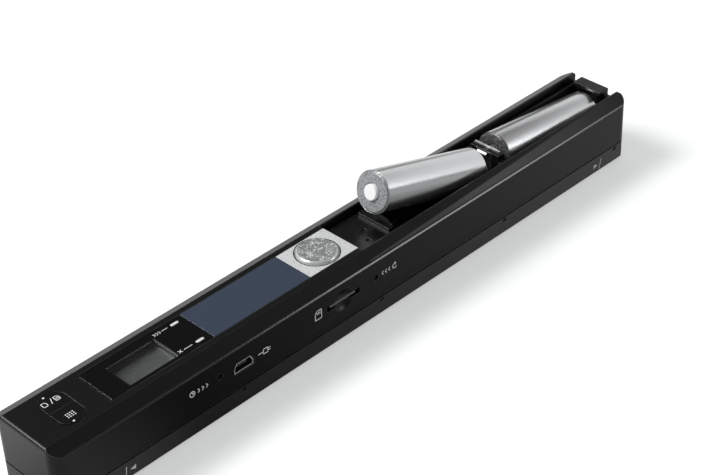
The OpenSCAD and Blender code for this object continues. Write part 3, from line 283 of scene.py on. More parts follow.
def makeGrainGroup(look):
    # spark-eroded mould texture: fine cells with a slower drift of gloss
    group, start, end = newGroup("mouldGrain", [
        ("Scale", "NodeSocketFloat", 9000.0),
        ("Base Roughness", "NodeSocketFloat", 0.4),
        ("Roughness Spread", "NodeSocketFloat", 0.08),
    ], [("Height", "NodeSocketFloat"), ("Roughness", "NodeSocketFloat")])
    place = objectPlace(group)
    fine = noiseNode(group, place, start.outputs["Scale"], look["detail"], look["rough"])
    group.links.new(fine, end.inputs["Height"])
    drift = mathNode(group, "SUBTRACT", noiseNode(group, place, look["driftScale"]), 0.5)
    spread = mathNode(group, "MULTIPLY", drift, start.outputs["Roughness Spread"])
    total = mathNode(group, "ADD", start.outputs["Base Roughness"], spread)
    group.links.new(total, end.inputs["Roughness"])
    return group


edgeLook = {
    "samples": 6,
    "turn": (0.999, 0.9),  # cosine of the bend, where polish and painted highlight begin and are full
    "patchScale": 180.0, "patchDetail": 4.0, "patchRough": 0.6,
    "patch": (0.4, 0.65, 0.3, 1.0),  # noise from, to, and the share of polish and painted highlight there
}


def makeWornAndHighlitEdgeGroup(look):
    # rounds the edges that light catches, and lightens their colour there: wear where handling polishes them,
    # and a painted highlight along the edges
    group, start, end = newGroup("wornAndHighlitEdges", [
        ("Base", "NodeSocketColor", (0.05, 0.05, 0.05, 1)),
        ("Worn", "NodeSocketColor", (0.2, 0.2, 0.2, 1)),
        ("Reach", "NodeSocketFloat", 0.0003),
        ("Amount", "NodeSocketFloat", 0.4),
    ], [("Color", "NodeSocketColor"), ("Normal", "NodeSocketVector")])
    bevel = group.nodes.new("ShaderNodeBevel")
    bevel.samples = look["samples"]
    group.links.new(start.outputs["Reach"], bevel.inputs["Radius"])
    flat = group.nodes.new("ShaderNodeNewGeometry")
    dot = group.nodes.new("ShaderNodeVectorMath")
    dot.operation = "DOT_PRODUCT"
    group.links.new(bevel.outputs[0], dot.inputs[0])
    group.links.new(flat.outputs["Normal"], dot.inputs[1])
    edge = remap(group, dot.outputs["Value"], *look["turn"], 0.0, 1.0)
    noise = noiseNode(group, objectPlace(group), look["patchScale"], look["patchDetail"], look["patchRough"])
    polishedAndLit = mathNode(group, "MULTIPLY", edge, remap(group, noise, *look["patch"]))
    mask = mathNode(group, "MULTIPLY", polishedAndLit, start.outputs["Amount"])
    color = mixColors(group, mask, start.outputs["Base"], start.outputs["Worn"])
    group.links.new(color, end.inputs["Color"])
    group.links.new(bevel.outputs[0], end.inputs["Normal"])
    return group


dustLook = {
    "scale": 420.0, "size": (0.045, 0.02),
    "patchScale": 90.0, "patch": (0.5, 0.62),
    "color": (0.45, 0.45, 0.44),
}


def makeDustGroup(look):
    # sparse specks and lint
    group, start, end = newGroup("fineDust", [
        ("Color", "NodeSocketColor", (0.05, 0.05, 0.05, 1)),
        ("Amount", "NodeSocketFloat", 0.3),
    ], [("Color", "NodeSocketColor")])
    place = objectPlace(group)
    cells = group.nodes.new("ShaderNodeTexVoronoi")
    cells.inputs["Scale"].default_value = look["scale"]
    group.links.new(place, cells.inputs["Vector"])
    speck = remap(group, cells.outputs["Distance"], *look["size"], 0.0, 1.0)
    where = remap(group, noiseNode(group, place, look["patchScale"]), *look["patch"], 0.0, 1.0)
    mask = mathNode(group, "MULTIPLY", mathNode(group, "MULTIPLY", speck, where), start.outputs["Amount"])
    group.links.new(mixColors(group, mask, start.outputs["Color"], look["color"]), end.inputs["Color"])
    return group


grainGroup = makeGrainGroup(grainLook)
wornAndHighlitEdgeGroup = makeWornAndHighlitEdgeGroup(edgeLook)
dustGroup = makeDustGroup(dustLook)


def groupNode(tree, group, **values):
    node = tree.nodes.new("ShaderNodeGroup")
    node.node_tree = group
    labels = {"scale": "Scale", "base": "Base Roughness", "spread": "Roughness Spread",
              "color": "Base", "worn": "Worn", "reach": "Reach", "amount": "Amount"}
    for key, value in values.items():
        setSocket(tree, node.inputs[labels[key]], value)
    return node


def bareMaterial(name):
    mat = bpy.data.materials.new(name)
    mat.use_nodes = True
    return mat, mat.node_tree, mat.node_tree.nodes["Principled BSDF"]


wornAndLitLook = {"metal": (1.15, 0.0), "plastic": (2.0, 0.10)}  # edge colour, worn and painted highlight: times, plus
fleckLook = {"from": 0.62, "to": 0.70, "perShare": 0.3, "detail": 2.0, "rough": 0.6}
grainHeight = 0.00002  # m


def addFlecks(tree, color, look, tone, scale, share):
    # a second tone in fine grains: its colour, grains per metre, share
    noise = noiseNode(tree, objectPlace(tree), scale, look["detail"], look["rough"])
    shift = share * look["perShare"]
    spots = remap(tree, noise, look["from"] - shift, look["to"] - shift, 0.0, 1.0)
    return mixColors(tree, spots, color, tone)


def surface(name, color, rough, metallic=0.0, spread=0.06, grain=9000.0, depth=0.25, reach=0.0003,
            wear=0.3, dust=0.2, spec=0.5, fleck=None):
    mat, tree, shader = bareMaterial(name)
    times, plus = wornAndLitLook["metal" if metallic else "plastic"]
    worn = tuple(min(1.0, c * times + plus) for c in color)
    gloss = groupNode(tree, grainGroup, scale=grain, base=rough, spread=spread)
    edges = groupNode(tree, wornAndHighlitEdgeGroup, color=color, worn=worn, amount=wear, reach=reach)
    specks = groupNode(tree, dustGroup, amount=dust)
    tree.links.new(edges.outputs["Color"], specks.inputs["Color"])
    tinted = specks.outputs["Color"]
    if fleck:
        tinted = addFlecks(tree, tinted, fleckLook, *fleck)
    bump = tree.nodes.new("ShaderNodeBump")
    bump.inputs["Strength"].default_value = depth
    bump.inputs["Distance"].default_value = grainHeight
    tree.links.new(gloss.outputs["Height"], bump.inputs["Height"])
    tree.links.new(edges.outputs["Normal"], bump.inputs["Normal"])
    for label, v in (("Base Color", tinted), ("Roughness", gloss.outputs["Roughness"]),
                     ("Normal", bump.outputs[0]), ("Metallic", metallic), ("Specular IOR Level", spec)):
        setSocket(tree, shader.inputs[label], v)
    return mat


paneLook = {"rough": 0.02, "spread": 0.02, "grain": 400.0, "index": 1.49}


def clearPane(name, color, look=paneLook):
    # glass that lets the lamps through, so what lies behind it is lit
    mat, tree, shader = bareMaterial(name)
    gloss = groupNode(tree, grainGroup, scale=look["grain"], base=look["rough"], spread=look["spread"])
    tree.links.new(gloss.outputs["Roughness"], shader.inputs["Roughness"])
    shader.inputs["Base Color"].default_value = color + (1,)
    shader.inputs["Transmission Weight"].default_value = 1.0
    shader.inputs["IOR"].default_value = look["index"]
    path = tree.nodes.new("ShaderNodeLightPath")
    letThrough = tree.nodes.new("ShaderNodeBsdfTransparent")
    letThrough.inputs["Color"].default_value = color + (1,)
    out = next(n for n in tree.nodes if n.type == "OUTPUT_MATERIAL")
    mixed = mixShaders(tree, path.outputs["Is Shadow Ray"], shader.outputs[0], letThrough.outputs[0])
    tree.links.new(mixed, out.inputs["Surface"])
    return mat


seamShadeLook = {"dark": (0.002, 0.002, 0.002), "fade": (0.0086, 0.0087), "spec": (0.5, 0.02)}  # fade in Z, m


def paintSeamShade(mat, look):
    # painted shade: the lip of the lower shell above the seam line is darkened and its gloss lowered,
    # standing in for the shadow in the seam
    tree = mat.node_tree
    shader = tree.nodes["Principled BSDF"]
    light = shader.inputs["Base Color"].links[0].from_socket
    height = objectAxes(tree)["Z"]
    amount = remap(tree, height, *look["fade"], 0.0, 1.0)
    tree.links.new(mixColors(tree, amount, light, look["dark"]), shader.inputs["Base Color"])
    tree.links.new(remap(tree, height, *look["fade"], *look["spec"]), shader.inputs["Specular IOR Level"])


displayShadeLook = {"dark": (0.014, 0.014, 0.014), "fade": (-0.0235, -0.0165), "slant": 0.2}  # fade in m


def paintDisplayShade(mat, look):
    # painted shade: the unlit cell of the display is darkened towards its far left corner
    tree = mat.node_tree
    shader = tree.nodes["Principled BSDF"]
    light = shader.inputs["Base Color"].links[0].from_socket
    axes = objectAxes(tree)
    along = mathNode(tree, "SUBTRACT", mathNode(tree, "MULTIPLY", axes["X"], look["slant"]), axes["Y"])
    amount = remap(tree, along, *look["fade"], 0.0, 1.0)
    tree.links.new(mixColors(tree, amount, look["dark"], light), shader.inputs["Base Color"])


# the wear value of each finish also sets the highlight painted onto its edges
shellBlack = surface("shellBlack", (0.0062, 0.0065, 0.0066), 0.34, reach=0.0004, wear=0.85)
baseBlack = surface("baseBlack", (0.024, 0.0245, 0.0245), 0.36, wear=0.5)
trayBlack = surface("trayBlack", (0.006, 0.006, 0.0065), 0.26, depth=0.15)
keyBlack = surface("keyBlack", (0.005, 0.005, 0.0055), 0.30, wear=0.9)
lensBlack = surface("lensBlack", (0.003, 0.003, 0.0035), 0.07, spread=0.02, depth=0.02, reach=0.0005,
                    wear=0.1, dust=0.12)
panelBlue = surface("panelBlue", (0.050, 0.066, 0.099), 0.10, spread=0.02, depth=0.03, wear=0.1, dust=0.1)
plateSilver = surface("plateSilver", (0.90, 0.91, 0.92), 0.5, metallic=0.25, grain=5200.0, depth=0.5,
                      reach=0.00015, dust=0.0, fleck=((0.62, 0.63, 0.64), 3200.0, 0.4))
# painted highlight: a lighter, glossier copy of the shell black, put on the long chamfer of the upper shell
shellEdge = surface("shellEdge", (0.022, 0.023, 0.023), 0.2, depth=0.1, spec=0.9, dust=0.0)
buttonRim = surface("buttonRim", (0.80, 0.81, 0.81), 0.28, metallic=0.5, depth=0.1, dust=0.0)
buttonSilver = surface("buttonSilver", (0.37, 0.38, 0.38), 0.34, metallic=0.4, grain=2200.0, depth=0.8,
                       dust=0.0, fleck=((0.97, 0.98, 0.98), 1300.0, 0.34))
tinPlate = surface("tinPlate", (0.80, 0.80, 0.80), 0.22, metallic=1.0, depth=0.15, reach=0.0001, dust=0.05)
springWire = surface("springWire", (0.82, 0.82, 0.83), 0.18, metallic=1.0, depth=0.1, reach=0.00005, dust=0.0)
shaftSteel = surface("shaftSteel", (0.62, 0.63, 0.64), 0.25, metallic=1.0, dust=0.1)
screwSteel = surface("screwSteel", (0.42, 0.42, 0.44), 0.3, metallic=1.0, dust=0.1)
# painted shade: a darker copy of the cell metal, for cell 2's can and the ends of its jacket
cellEndShade = surface("cellEndShade", (0.09, 0.09, 0.094), 0.42, metallic=0.5, grain=3600.0, depth=0.8,
                      wear=0.8, reach=0.0004, dust=0.0, fleck=((0.30, 0.31, 0.31), 1700.0, 0.35))
cellMetal = surface("cellMetal", (0.46, 0.47, 0.48), 0.42, metallic=0.6, grain=3600.0, depth=0.8,
                    reach=0.00035, dust=0.0, fleck=((0.24, 0.25, 0.26), 1700.0, 0.42))
# painted highlight: a plain white for the tip of cell 1, standing in for the light its metal nub reflects
nubHighlight = surface("nubHighlight", (0.97, 0.97, 0.97), 0.3, depth=0.1, dust=0.0)
socketLip = surface("socketLip", (0.85, 0.85, 0.84), 0.35, metallic=0.4, depth=0.1, reach=0.00005, dust=0.0)
slotGrey = surface("slotGrey", (0.20, 0.20, 0.20), 0.4, metallic=0.3, depth=0.1, reach=0.00005, dust=0.0)
# a darker copy of the contact metal, for the positive contact
darkContactMetal = surface("darkContactMetal", (0.02, 0.02, 0.021), 0.28, metallic=0.5, depth=0.1, reach=0.00012,
                     wear=0.6)
contactSteel = surface("contactSteel", (0.46, 0.46, 0.46), 0.34, metallic=1.0, depth=0.1, reach=0.00008)
cellWrap = surface("cellWrap", (0.73, 0.74, 0.75), 0.26, metallic=0.96, depth=0.03, reach=0.0002, dust=0.06)
boardGreen = surface("boardGreen", (0.02, 0.10, 0.045), 0.3)
chipBlack = surface("chipBlack", (0.012, 0.012, 0.013), 0.45)
ledCream = surface("ledCream", (0.8, 0.78, 0.6), 0.4)
lightClear = surface("lightClear", (0.80, 0.82, 0.83), 0.2, depth=0.02, dust=0.0)
displayGrey = surface("displayGrey", (0.060, 0.062, 0.062), 0.2, depth=0.02)
# painted highlight: an opaque grey for the end of the display pane, standing in for the light line along the
# glass edge
paneEdgeHighlight = surface("paneEdgeHighlight", (0.07, 0.07, 0.07), 0.55, wear=0.0, dust=0.0, spec=0.2)
sensorBlack = surface("sensorBlack", (0.012, 0.012, 0.013), 0.45)
rubberBlack = surface("rubberBlack", (0.014, 0.014, 0.014), 0.75, grain=3000.0, depth=0.5)
acetalWhite = surface("acetalWhite", (0.72, 0.72, 0.68), 0.35)
scanGlass = clearPane("scanGlass", (0.92, 0.97, 0.96))
rodClear = clearPane("rodClear", (0.9, 0.93, 0.95))
displayPane = clearPane("displayPane", (0.97, 0.98, 0.98))
gapBlack = surface("gapBlack", (0.006, 0.006, 0.006), 0.6, wear=0.0, dust=0.0)
printWhite = surface("printWhite", (0.90, 0.91, 0.90), 0.45, depth=0.05, reach=0.00001, wear=0.0, dust=0.0)
paintSeamShade(baseBlack, seamShadeLook)
paintDisplayShade(displayGrey, displayShadeLook)

finishes = {
    "upper_shell": shellBlack, "bottom_shell": baseBlack, "display_lens": lensBlack,
    "display_window": displayPane, "display_module": displayGrey, "blue_panel": panelBlue,
    "button_plate": plateSilver, "scan_button": buttonSilver, "page_key": keyBlack,
    "resolution_key": keyBlack, "status_lights": lightClear, "key_board": boardGreen,
    "scan_switch": chipBlack, "key_switches": chipBlack, "led_chips": ledCream,
    "main_board": boardGreen, "board_chips": chipBlack, "usb_socket": socketLip,
    "usb_tongue": chipBlack, "card_socket": slotGrey, "memory_card": slotGrey,
    "side_switches": chipBlack, "time_pin": gapBlack, "format_pin": gapBlack,
    "battery_tray": trayBlack, "positive_contact": darkContactMetal, "link_contact": contactSteel,
    "end_contact": tinPlate, "spring_1": springWire, "spring_2": springWire,
    "cell_1_can": cellMetal, "cell_1_jacket": cellWrap, "cell_2_can": cellEndShade,
    "cell_2_jacket": cellWrap, "scan_glass": scanGlass, "sensor_bar": sensorBlack,
    "lens_rod": rodClear, "rear_shaft": shaftSteel, "rear_sleeves": rubberBlack,
    "rear_bearings": acetalWhite, "roller_gear": acetalWhite, "front_shaft": shaftSteel,
    "front_sleeves": rubberBlack, "front_bearings": acetalWhite, "encoder_wheel": acetalWhite,
    "encoder_bracket": chipBlack, "encoder_sensor": chipBlack, "case_screws": screwSteel,
    "board_screws": screwSteel,
}
for nodeName, obj in nodes.items():
    obj.data.materials.clear()
    obj.data.materials.append(finishes[nodeName])
print("finishes made:", len(finishes))

# Merged copies of the solids, so that their rounds are smooth

merged = {
    "nodes": ["upper_shell", "bottom_shell", "battery_tray", "display_lens", "blue_panel", "button_plate",
              "scan_button", "page_key", "resolution_key", "status_lights", "usb_socket", "card_socket",
              "memory_card", "link_contact", "positive_contact", "end_contact", "spring_1", "spring_2",
              "cell_1_can", "cell_1_jacket", "cell_2_can", "cell_2_jacket", "time_pin", "format_pin",
              "rear_sleeves", "front_sleeves", "rear_shaft", "front_shaft", "lens_rod", "case_screws",
              "display_window"],
    "weld": 0.002,  # mm
    "flatten": 0.3,  # degrees
    "smoothUpTo": 24,  # degrees between faces
    "flatter": {"upper_shell": 8, "bottom_shell": 8, "battery_tray": 8, "positive_contact": 10,
                "link_contact": 12, "display_lens": 8, "blue_panel": 8, "button_plate": 8,
                "display_window": 8},
}


def pieceName(nodeName):
    first, *rest = nodeName.split("_")
    return first + "".join(p.capitalize() for p in rest)


def addObject(name, mesh):
    obj = bpy.data.objects.new(name, mesh)
    scene.collection.objects.link(obj)
    return obj


def mergedCopy(nodeName, p):
    mesh = nodes[nodeName].data.copy()
    work = bmesh.new()
    work.from_mesh(mesh)
    bmesh.ops.remove_doubles(work, verts=work.verts, dist=p["weld"] * mm)
    bmesh.ops.dissolve_limit(work, angle_limit=math.radians(p["flatten"]), verts=work.verts,
                             edges=work.edges, delimit=set())
    work.to_mesh(mesh)
    work.free()
    mesh.polygons.foreach_set("use_smooth", [True] * len(mesh.polygons))
    mesh.set_sharp_from_angle(angle=math.radians(p["flatter"].get(nodeName, p["smoothUpTo"])))
    obj = addObject(pieceName(nodeName), mesh)
    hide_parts(nodeName)
    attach(obj, nodes[nodeName]["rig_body"])
    return obj


pieces = {n: mergedCopy(n, merged) for n in merged["nodes"]}

ledge = {"corner": (127.1, 13.9), "rounded": (126.66, 13.46), "near": 0.02}  # mm from the middle


def roundLedge(mesh, p):
    # the ledge under the cover groove meets the rounded end corners flush
    for v in mesh.vertices:
        if all(abs(abs(c) - k * mm) < p["near"] * mm for c, k in zip(v.co, p["corner"])):
            v.co.x, v.co.y = (math.copysign(k * mm, c) for c, k in zip(v.co, p["rounded"]))


roundLedge(pieces["upper_shell"].data, ledge)

faceTests = {
    "cellTilts": (16.4, 6.6),  # degrees
    "nubDepth": 0.9,  # mm of cell 1's tip that gets the painted highlight
    "endFacing": 0.75,  # least cosine between a face and the cell's axis
    "edgeArea": 4,  # mm2, least face of the long chamfer
    "edgeY": (-0.95, -0.6), "edgeZ": (0.3, 0.8),  # its normal
    "buttonTop": 0.75,  # least upward part of a normal that is not the rim
    "socketLip": 0.3,  # mm of bright lip at the socket's mouth; the shell behind it is painted black as shade
    "paneEnd": 0.9,  # least normal along X
}


def cellAxis(tilt):
    return Vector((-math.cos(math.radians(tilt)), 0, math.sin(math.radians(tilt))))


def secondFinish(nodeName, material, test):
    # another finish on the faces that pass the test
    mesh = pieces[nodeName].data
    mesh.materials.append(material)
    for polygon in mesh.polygons:
        if test(polygon):
            polygon.material_index = 1


def isLongEdge(p):
    inY, inZ = (low < k < high for k, (low, high) in
                ((p.normal.y, faceTests["edgeY"]), (p.normal.z, faceTests["edgeZ"])))
    return p.area > faceTests["edgeArea"] * mm * mm and inY and inZ


axis1, axis2 = (cellAxis(t) for t in faceTests["cellTilts"])
nubStart = max(v.co.dot(axis1) for v in pieces["cell_1_can"].data.vertices) - faceTests["nubDepth"] * mm
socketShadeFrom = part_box("usb_socket")[0][1] + faceTests["socketLip"] * mm
secondFinish("cell_1_can", nubHighlight, lambda p: p.center.dot(axis1) > nubStart)
# cell 2's end faces get the painted shade
secondFinish("cell_2_jacket", cellEndShade, lambda p: p.normal.dot(axis2) > faceTests["endFacing"])
# the long chamfer gets the painted highlight
secondFinish("upper_shell", shellEdge, isLongEdge)
secondFinish("scan_button", buttonRim, lambda p: p.normal.z < faceTests["buttonTop"])
# painted shade: the socket's metal shell is black behind its front lip
secondFinish("usb_socket", chipBlack, lambda p: p.center.y > socketShadeFrom)
# the right end of the pane gets the painted highlight
secondFinish("display_window", paneEdgeHighlight, lambda p: p.normal.x > faceTests["paneEnd"])
print("merged copies made:", len(pieces))

# Printed marks: generic signs only, and a painted shadow ring round the button; thin closed plates laid on
# the surface that carries them

ink = {
    "lift": 0.025,  # mm of ink above the surface
    "sink": 0.05,  # mm into it
    "start": {"top": 60, "front": 40},  # mm from which the surface is looked for
}


def meshTree(nodeName):
    mesh = nodes[nodeName].data
    return BVHTree.FromPolygons([v.co for v in mesh.vertices], [tuple(p.vertices) for p in mesh.polygons])


def ringShape(u, v, r, stroke, count=20, start=0.0, sweep=360.0):
    steps = [math.radians(start + sweep * i / count) for i in range(count + 1)]
    inner, outer = r - stroke / 2, r + stroke / 2
    return [[(u + k * math.cos(t), v + k * math.sin(t))
             for k, t in ((inner, a), (outer, a), (outer, b), (inner, b))] for a, b in zip(steps, steps[1:])]


def discShape(u, v, r, count=16):
    return [[(u + r * math.cos(math.tau * i / count), v + r * math.sin(math.tau * i / count))
             for i in range(count)]]


def lineShape(u0, v0, u1, v1, stroke):
    d = Vector((u1 - u0, v1 - v0)).normalized() * stroke / 2
    s = Vector((-d.y, d.x))
    return [[(u0 - d.x - s.x, v0 - d.y - s.y), (u1 + d.x - s.x, v1 + d.y - s.y),
             (u1 + d.x + s.x, v1 + d.y + s.y), (u0 - d.x + s.x, v0 - d.y + s.y)]]


def pathShape(points, stroke, closed=False):
    ends = points[1:] + points[:1] if closed else points[1:]
    return [q for (a, b) in zip(points, ends) for q in lineShape(*a, *b, stroke)]


def pageShape(u, v, w, h, stroke, fold=0.3):
    # a sheet with its top right corner folded
    c = h * fold
    return pathShape([(u, v), (u + w, v), (u + w, v + h - c), (u + w - c, v + h), (u, v + h)], stroke, True)


def chevronShape(u, v, h, stroke, way=1):
    return pathShape([(u, v - h / 2), (u + way * h / 2, v), (u, v + h / 2)], stroke)


def chevronRow(u, v, count, pitch, h, stroke, way=1):
    return [q for i in range(count) for q in chevronShape(u + pitch * i, v, h, stroke, way)]


def printMark(name, nodeName, shapes, face, material):
    # face "top" prints X, Y from above; face "front" prints X, Z from the front
    carrier = meshTree(nodeName)
    ray = Vector((0, 0, -1)) if face == "top" else Vector((0, 1, 0))
    start = ink["start"][face]
    work = bmesh.new()
    for shape in shapes:
        low, high = [], []
        for u, v in shape:
            far = Vector((u, v, start) if face == "top" else (u, -start, v)) * mm
            hit = carrier.ray_cast(far, ray)[0]
            low.append(work.verts.new(hit + ray * ink["sink"] * mm))
            high.append(work.verts.new(hit - ray * ink["lift"] * mm))
        work.faces.new(high)
        work.faces.new(low[::-1])
        for i in range(len(shape)):
            j = (i + 1) % len(shape)
            work.faces.new((high[j], high[i], low[i], low[j]))
    bmesh.ops.recalc_face_normals(work, faces=work.faces)
    mesh = bpy.data.meshes.new(name)
    work.to_mesh(mesh)
    work.free()
    mesh.materials.append(material)
    obj = addObject(name, mesh)
    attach(obj, nodes[nodeName]["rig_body"])
    return obj


# Front signs: X and Z in mm
frontSigns = {
    "time": (-78.3, 17.9), "format": (7.4, 17.9), "plug": (-49.9, 16.0), "card": (-28.0, 15.9),
    "stroke": 0.30, "chevron": 1.2,
}


def clockShapes(x, z, s, h):
    hands = lineShape(x, z, x, z + 0.55, s) + lineShape(x, z, x + 0.45, z, s)
    return ringShape(x, z, 0.95, s) + hands + chevronRow(x + 2.3, z, 3, 1.6, h, s)


def cycleShapes(x, z, s, h):
    arrow = ringShape(x, z, 0.85, s, 16, 60, 280) + chevronShape(x + 0.2, z + 0.85, 0.8, s)
    return arrow + chevronRow(x - 5.2, z, 3, 1.5, h, s, -1)


def plugShapes(x, z, s):
    w = 1.8
    shell = pathShape([(x, z), (x + w, z), (x + w, z + w), (x, z + w)], s, True)
    prongs = [q for rise in (0.5, 1.3) for q in lineShape(x + w, z + rise, x + w + 0.9, z + rise, s)]
    return shell + prongs + lineShape(x, z + w / 2, x - 2.0, z + w / 2, s)


def cardShapes(x, z, s):
    w, h, cut = 2.7, 3.3, 0.8
    outline = [(x, z), (x + w, z), (x + w, z + h), (x + cut, z + h), (x, z + h - cut)]
    contacts = [x + cut + 0.62 * i for i in range(3)]
    return pathShape(outline, s, True) + [q for u in contacts for q in lineShape(u, z + 2.0, u, z + 2.5, s)]


stroke, chevron = frontSigns["stroke"], frontSigns["chevron"]
clock = clockShapes(*frontSigns["time"], stroke, chevron)
cycle = cycleShapes(*frontSigns["format"], stroke, chevron)
plug = plugShapes(*frontSigns["plug"], stroke)
card = cardShapes(*frontSigns["card"], stroke)
printMark("timeMark", "upper_shell", clock, "front", printWhite)
printMark("formatMark", "upper_shell", cycle, "front", printWhite)
printMark("plugMark", "upper_shell", plug, "front", printWhite)
printMark("cardMark", "upper_shell", card, "front", printWhite)

# The scan width: a bar and an arrowhead at each end, X and Z in mm
scanWidth = {
    "scanWidthMarkLeft": {"x": -104.4, "way": 1}, "scanWidthMarkRight": {"x": 114.0, "way": -1},
    "bar": (2.2, 6.6), "head": (1.5, 3.6), "headHalf": 1.0, "stroke": 0.3,
}
for name in ("scanWidthMarkLeft", "scanWidthMarkRight"):
    x, way = scanWidth[name]["x"], scanWidth[name]["way"]
    low, high = scanWidth["bar"]
    middle, half = (low + high) / 2, scanWidth["headHalf"]
    tip, tail = (x + way * k for k in scanWidth["head"])
    bar = lineShape(x, low, x, high, scanWidth["stroke"])
    head = [[(tip, middle), (tail, middle - half), (tail, middle + half)]]
    printMark(name, "bottom_shell", bar + head, "front", printWhite)

# Signs on the two keys: mm, X from the keys' middle
keySigns = {
    "pageX": (-3.4, 1.0), "pageY": 3.4, "page": (1.5, 1.9), "pageStroke": 0.24,
    "slash": (-0.6, 3.3, 0.2, 5.3),
    "rows": (4.0, 4.5), "rowX": (1.35, 2.15), "rowStroke": 0.18,
    "dotX": -114.8, "dotY": 7.1, "dotR": 0.36,
}


def pageShapes(x, p):
    s, (a, b, c, d) = p["pageStroke"], p["slash"]
    plain, lined = (pageShape(x + u, p["pageY"], *p["page"], s) for u in p["pageX"])
    rows = [q for v in p["rows"] for q in lineShape(x + p["rowX"][0], v, x + p["rowX"][1], v, p["rowStroke"])]
    return plain + lineShape(x + a, b, x + c, d, s) + lined + rows


keyX = sum(c[0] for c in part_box("page_key")) / 2 / mm
dot = [discShape(keySigns["dotX"], way * keySigns["dotY"], keySigns["dotR"]) for way in (1, -1)]
printMark("pageKeyMark", "page_key", pageShapes(keyX, keySigns), "top", printWhite)
printMark("pageKeyDot", "page_key", dot[0], "top", printWhite)
printMark("resolutionKeyDot", "resolution_key", dot[1], "top", printWhite)

# Signs beside the two lights, and a painted shadow of the gap round the button: X and Y in mm
lensSigns = {"x": -74.6, "scanY": 5.8, "errorY": -5.8, "stroke": 0.22, "cross": (0.4, 0.6)}
buttonGap = {"x": -12.2, "y": 0, "r": 7.44, "stroke": 0.36, "count": 48}


def scanShapes(x, y, s):
    return chevronRow(x, y, 3, 1.0, 1.0, s) + lineShape(x + 3.2, y, x + 5.2, y, s)


def errorShapes(x, y, s, cross):
    low, high = y - cross[0], y + cross[1]
    return (lineShape(x, low, x + 1.0, high, s) + lineShape(x, high, x + 1.0, low, s)
            + lineShape(x + 2.0, y, x + 5.0, y, s))


scanSign = scanShapes(lensSigns["x"], lensSigns["scanY"], lensSigns["stroke"])
errorSign = errorShapes(lensSigns["x"], lensSigns["errorY"], lensSigns["stroke"], lensSigns["cross"])
gapShadowRing = ringShape(buttonGap["x"], buttonGap["y"], buttonGap["r"], buttonGap["stroke"], buttonGap["count"])
printMark("scanLightMark", "display_lens", scanSign, "top", printWhite)
printMark("errorLightMark", "display_lens", errorSign, "top", printWhite)
# a thin black ring on the plate, painted shadow of the gap round the button
printMark("buttonGap", "button_plate", gapShadowRing, "top", gapBlack)
print("marks printed")

# Repeated details, by geometry nodes


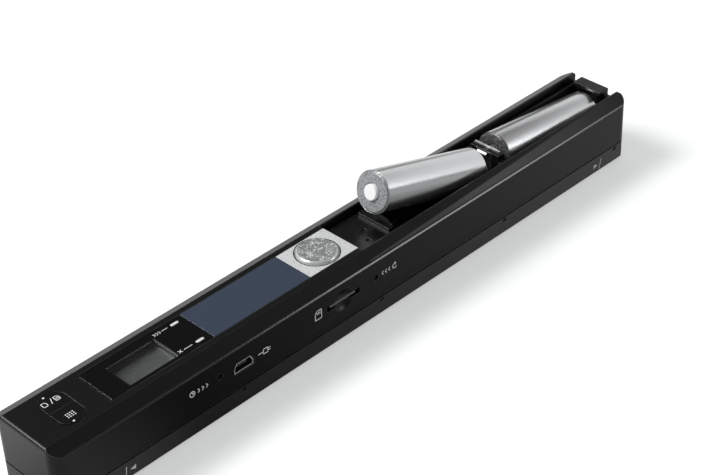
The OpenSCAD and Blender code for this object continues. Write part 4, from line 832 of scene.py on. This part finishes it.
def gridTree(name, material, crease):
    # copies of a small bar or dot on a rectangular grid of points
    tree = bpy.data.node_groups.new(name, "GeometryNodeTree")
    face = tree.interface
    face.new_socket("Geometry", in_out="INPUT", socket_type="NodeSocketGeometry")
    ids = {}
    for label, kind, value in (("Pitch X", "NodeSocketFloat", 0.001), ("Pitch Y", "NodeSocketFloat", 0.001),
                               ("Count X", "NodeSocketInt", 3), ("Count Y", "NodeSocketInt", 3),
                               ("Size", "NodeSocketVector", (0.0002, 0.0002, 0.0002)),
                               ("Centre", "NodeSocketVector", (0, 0, 0))):
        socket = face.new_socket(label, in_out="INPUT", socket_type=kind)
        socket.default_value = value
        ids[label] = socket.identifier
    face.new_socket("Geometry", in_out="OUTPUT", socket_type="NodeSocketGeometry")
    start, end = tree.nodes.new("NodeGroupInput"), tree.nodes.new("NodeGroupOutput")
    link = tree.links.new
    grid = tree.nodes.new("GeometryNodeMeshGrid")
    for axis in "XY":
        count = start.outputs["Count " + axis]
        gaps = mathNode(tree, "SUBTRACT", count, 1)
        span = mathNode(tree, "MULTIPLY", gaps, start.outputs["Pitch " + axis])
        link(mathNode(tree, "MAXIMUM", span, 1e-9), grid.inputs["Size " + axis])
        link(count, grid.inputs["Vertices " + axis])
    bar = tree.nodes.new("GeometryNodeMeshCube")
    link(start.outputs["Size"], bar.inputs["Size"])
    soft = tree.nodes.new("GeometryNodeSubdivisionSurface")
    soft.inputs["Level"].default_value = 2
    soft.inputs["Edge Crease"].default_value = crease
    link(bar.outputs["Mesh"], soft.inputs["Mesh"])
    each = tree.nodes.new("GeometryNodeInstanceOnPoints")
    link(grid.outputs["Mesh"], each.inputs["Points"])
    link(soft.outputs["Mesh"], each.inputs["Instance"])
    place = tree.nodes.new("GeometryNodeTransform")
    link(each.outputs["Instances"], place.inputs["Geometry"])
    link(start.outputs["Centre"], place.inputs["Translation"])
    real = tree.nodes.new("GeometryNodeRealizeInstances")
    link(place.outputs["Geometry"], real.inputs["Geometry"])
    finish = tree.nodes.new("GeometryNodeSetMaterial")
    finish.inputs["Material"].default_value = material
    link(real.outputs["Geometry"], finish.inputs["Geometry"])
    link(finish.outputs["Geometry"], end.inputs["Geometry"])
    return tree, ids


def gridPiece(name, body, material, crease, values):
    tree, ids = gridTree(name + "Grid", material, crease)
    base = addObject(name + "Base", bpy.data.meshes.new(name + "Base"))
    modifier = base.modifiers.new("grid", "NODES")
    modifier.node_group = tree
    for label, value in values.items():
        modifier[ids[label]] = value
    mesh = bpy.data.meshes.new_from_object(base.evaluated_get(bpy.context.evaluated_depsgraph_get()))
    bpy.data.objects.remove(base)
    mesh.name = name
    obj = addObject(name, mesh)
    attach(obj, body)
    return obj


resolutionGrid = {"pitch": 0.8, "count": (4, 3), "size": (0.5, 0.5, 0.12), "y": -4.25, "crease": 0.2}  # mm
contactGrid = {"pitch": (0.8, 1), "count": 5, "size": (0.4, 0.12), "high": 0.8, "crease": 0.6}  # mm, share
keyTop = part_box("resolution_key")[1][2]
p = resolutionGrid
gridPiece("resolutionDots", nodes["resolution_key"]["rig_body"], printWhite, p["crease"], {
    "Pitch X": p["pitch"] * mm, "Pitch Y": p["pitch"] * mm,
    "Count X": p["count"][0], "Count Y": p["count"][1],
    "Size": tuple(c * mm for c in p["size"]), "Centre": (keyX * mm, p["y"] * mm, keyTop)})
tongueLow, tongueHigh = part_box("usb_tongue")
p = contactGrid
gridPiece("usbContacts", nodes["usb_tongue"]["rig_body"], tinPlate, p["crease"], {
    "Pitch X": p["pitch"][0] * mm, "Pitch Y": p["pitch"][1] * mm, "Count X": p["count"], "Count Y": 1,
    "Size": (p["size"][0] * mm, p["size"][1] * mm, (tongueHigh[2] - tongueLow[2]) * p["high"]),
    "Centre": ((tongueLow[0] + tongueHigh[0]) / 2, tongueLow[1], (tongueLow[2] + tongueHigh[2]) / 2)})
print("repeated details made")
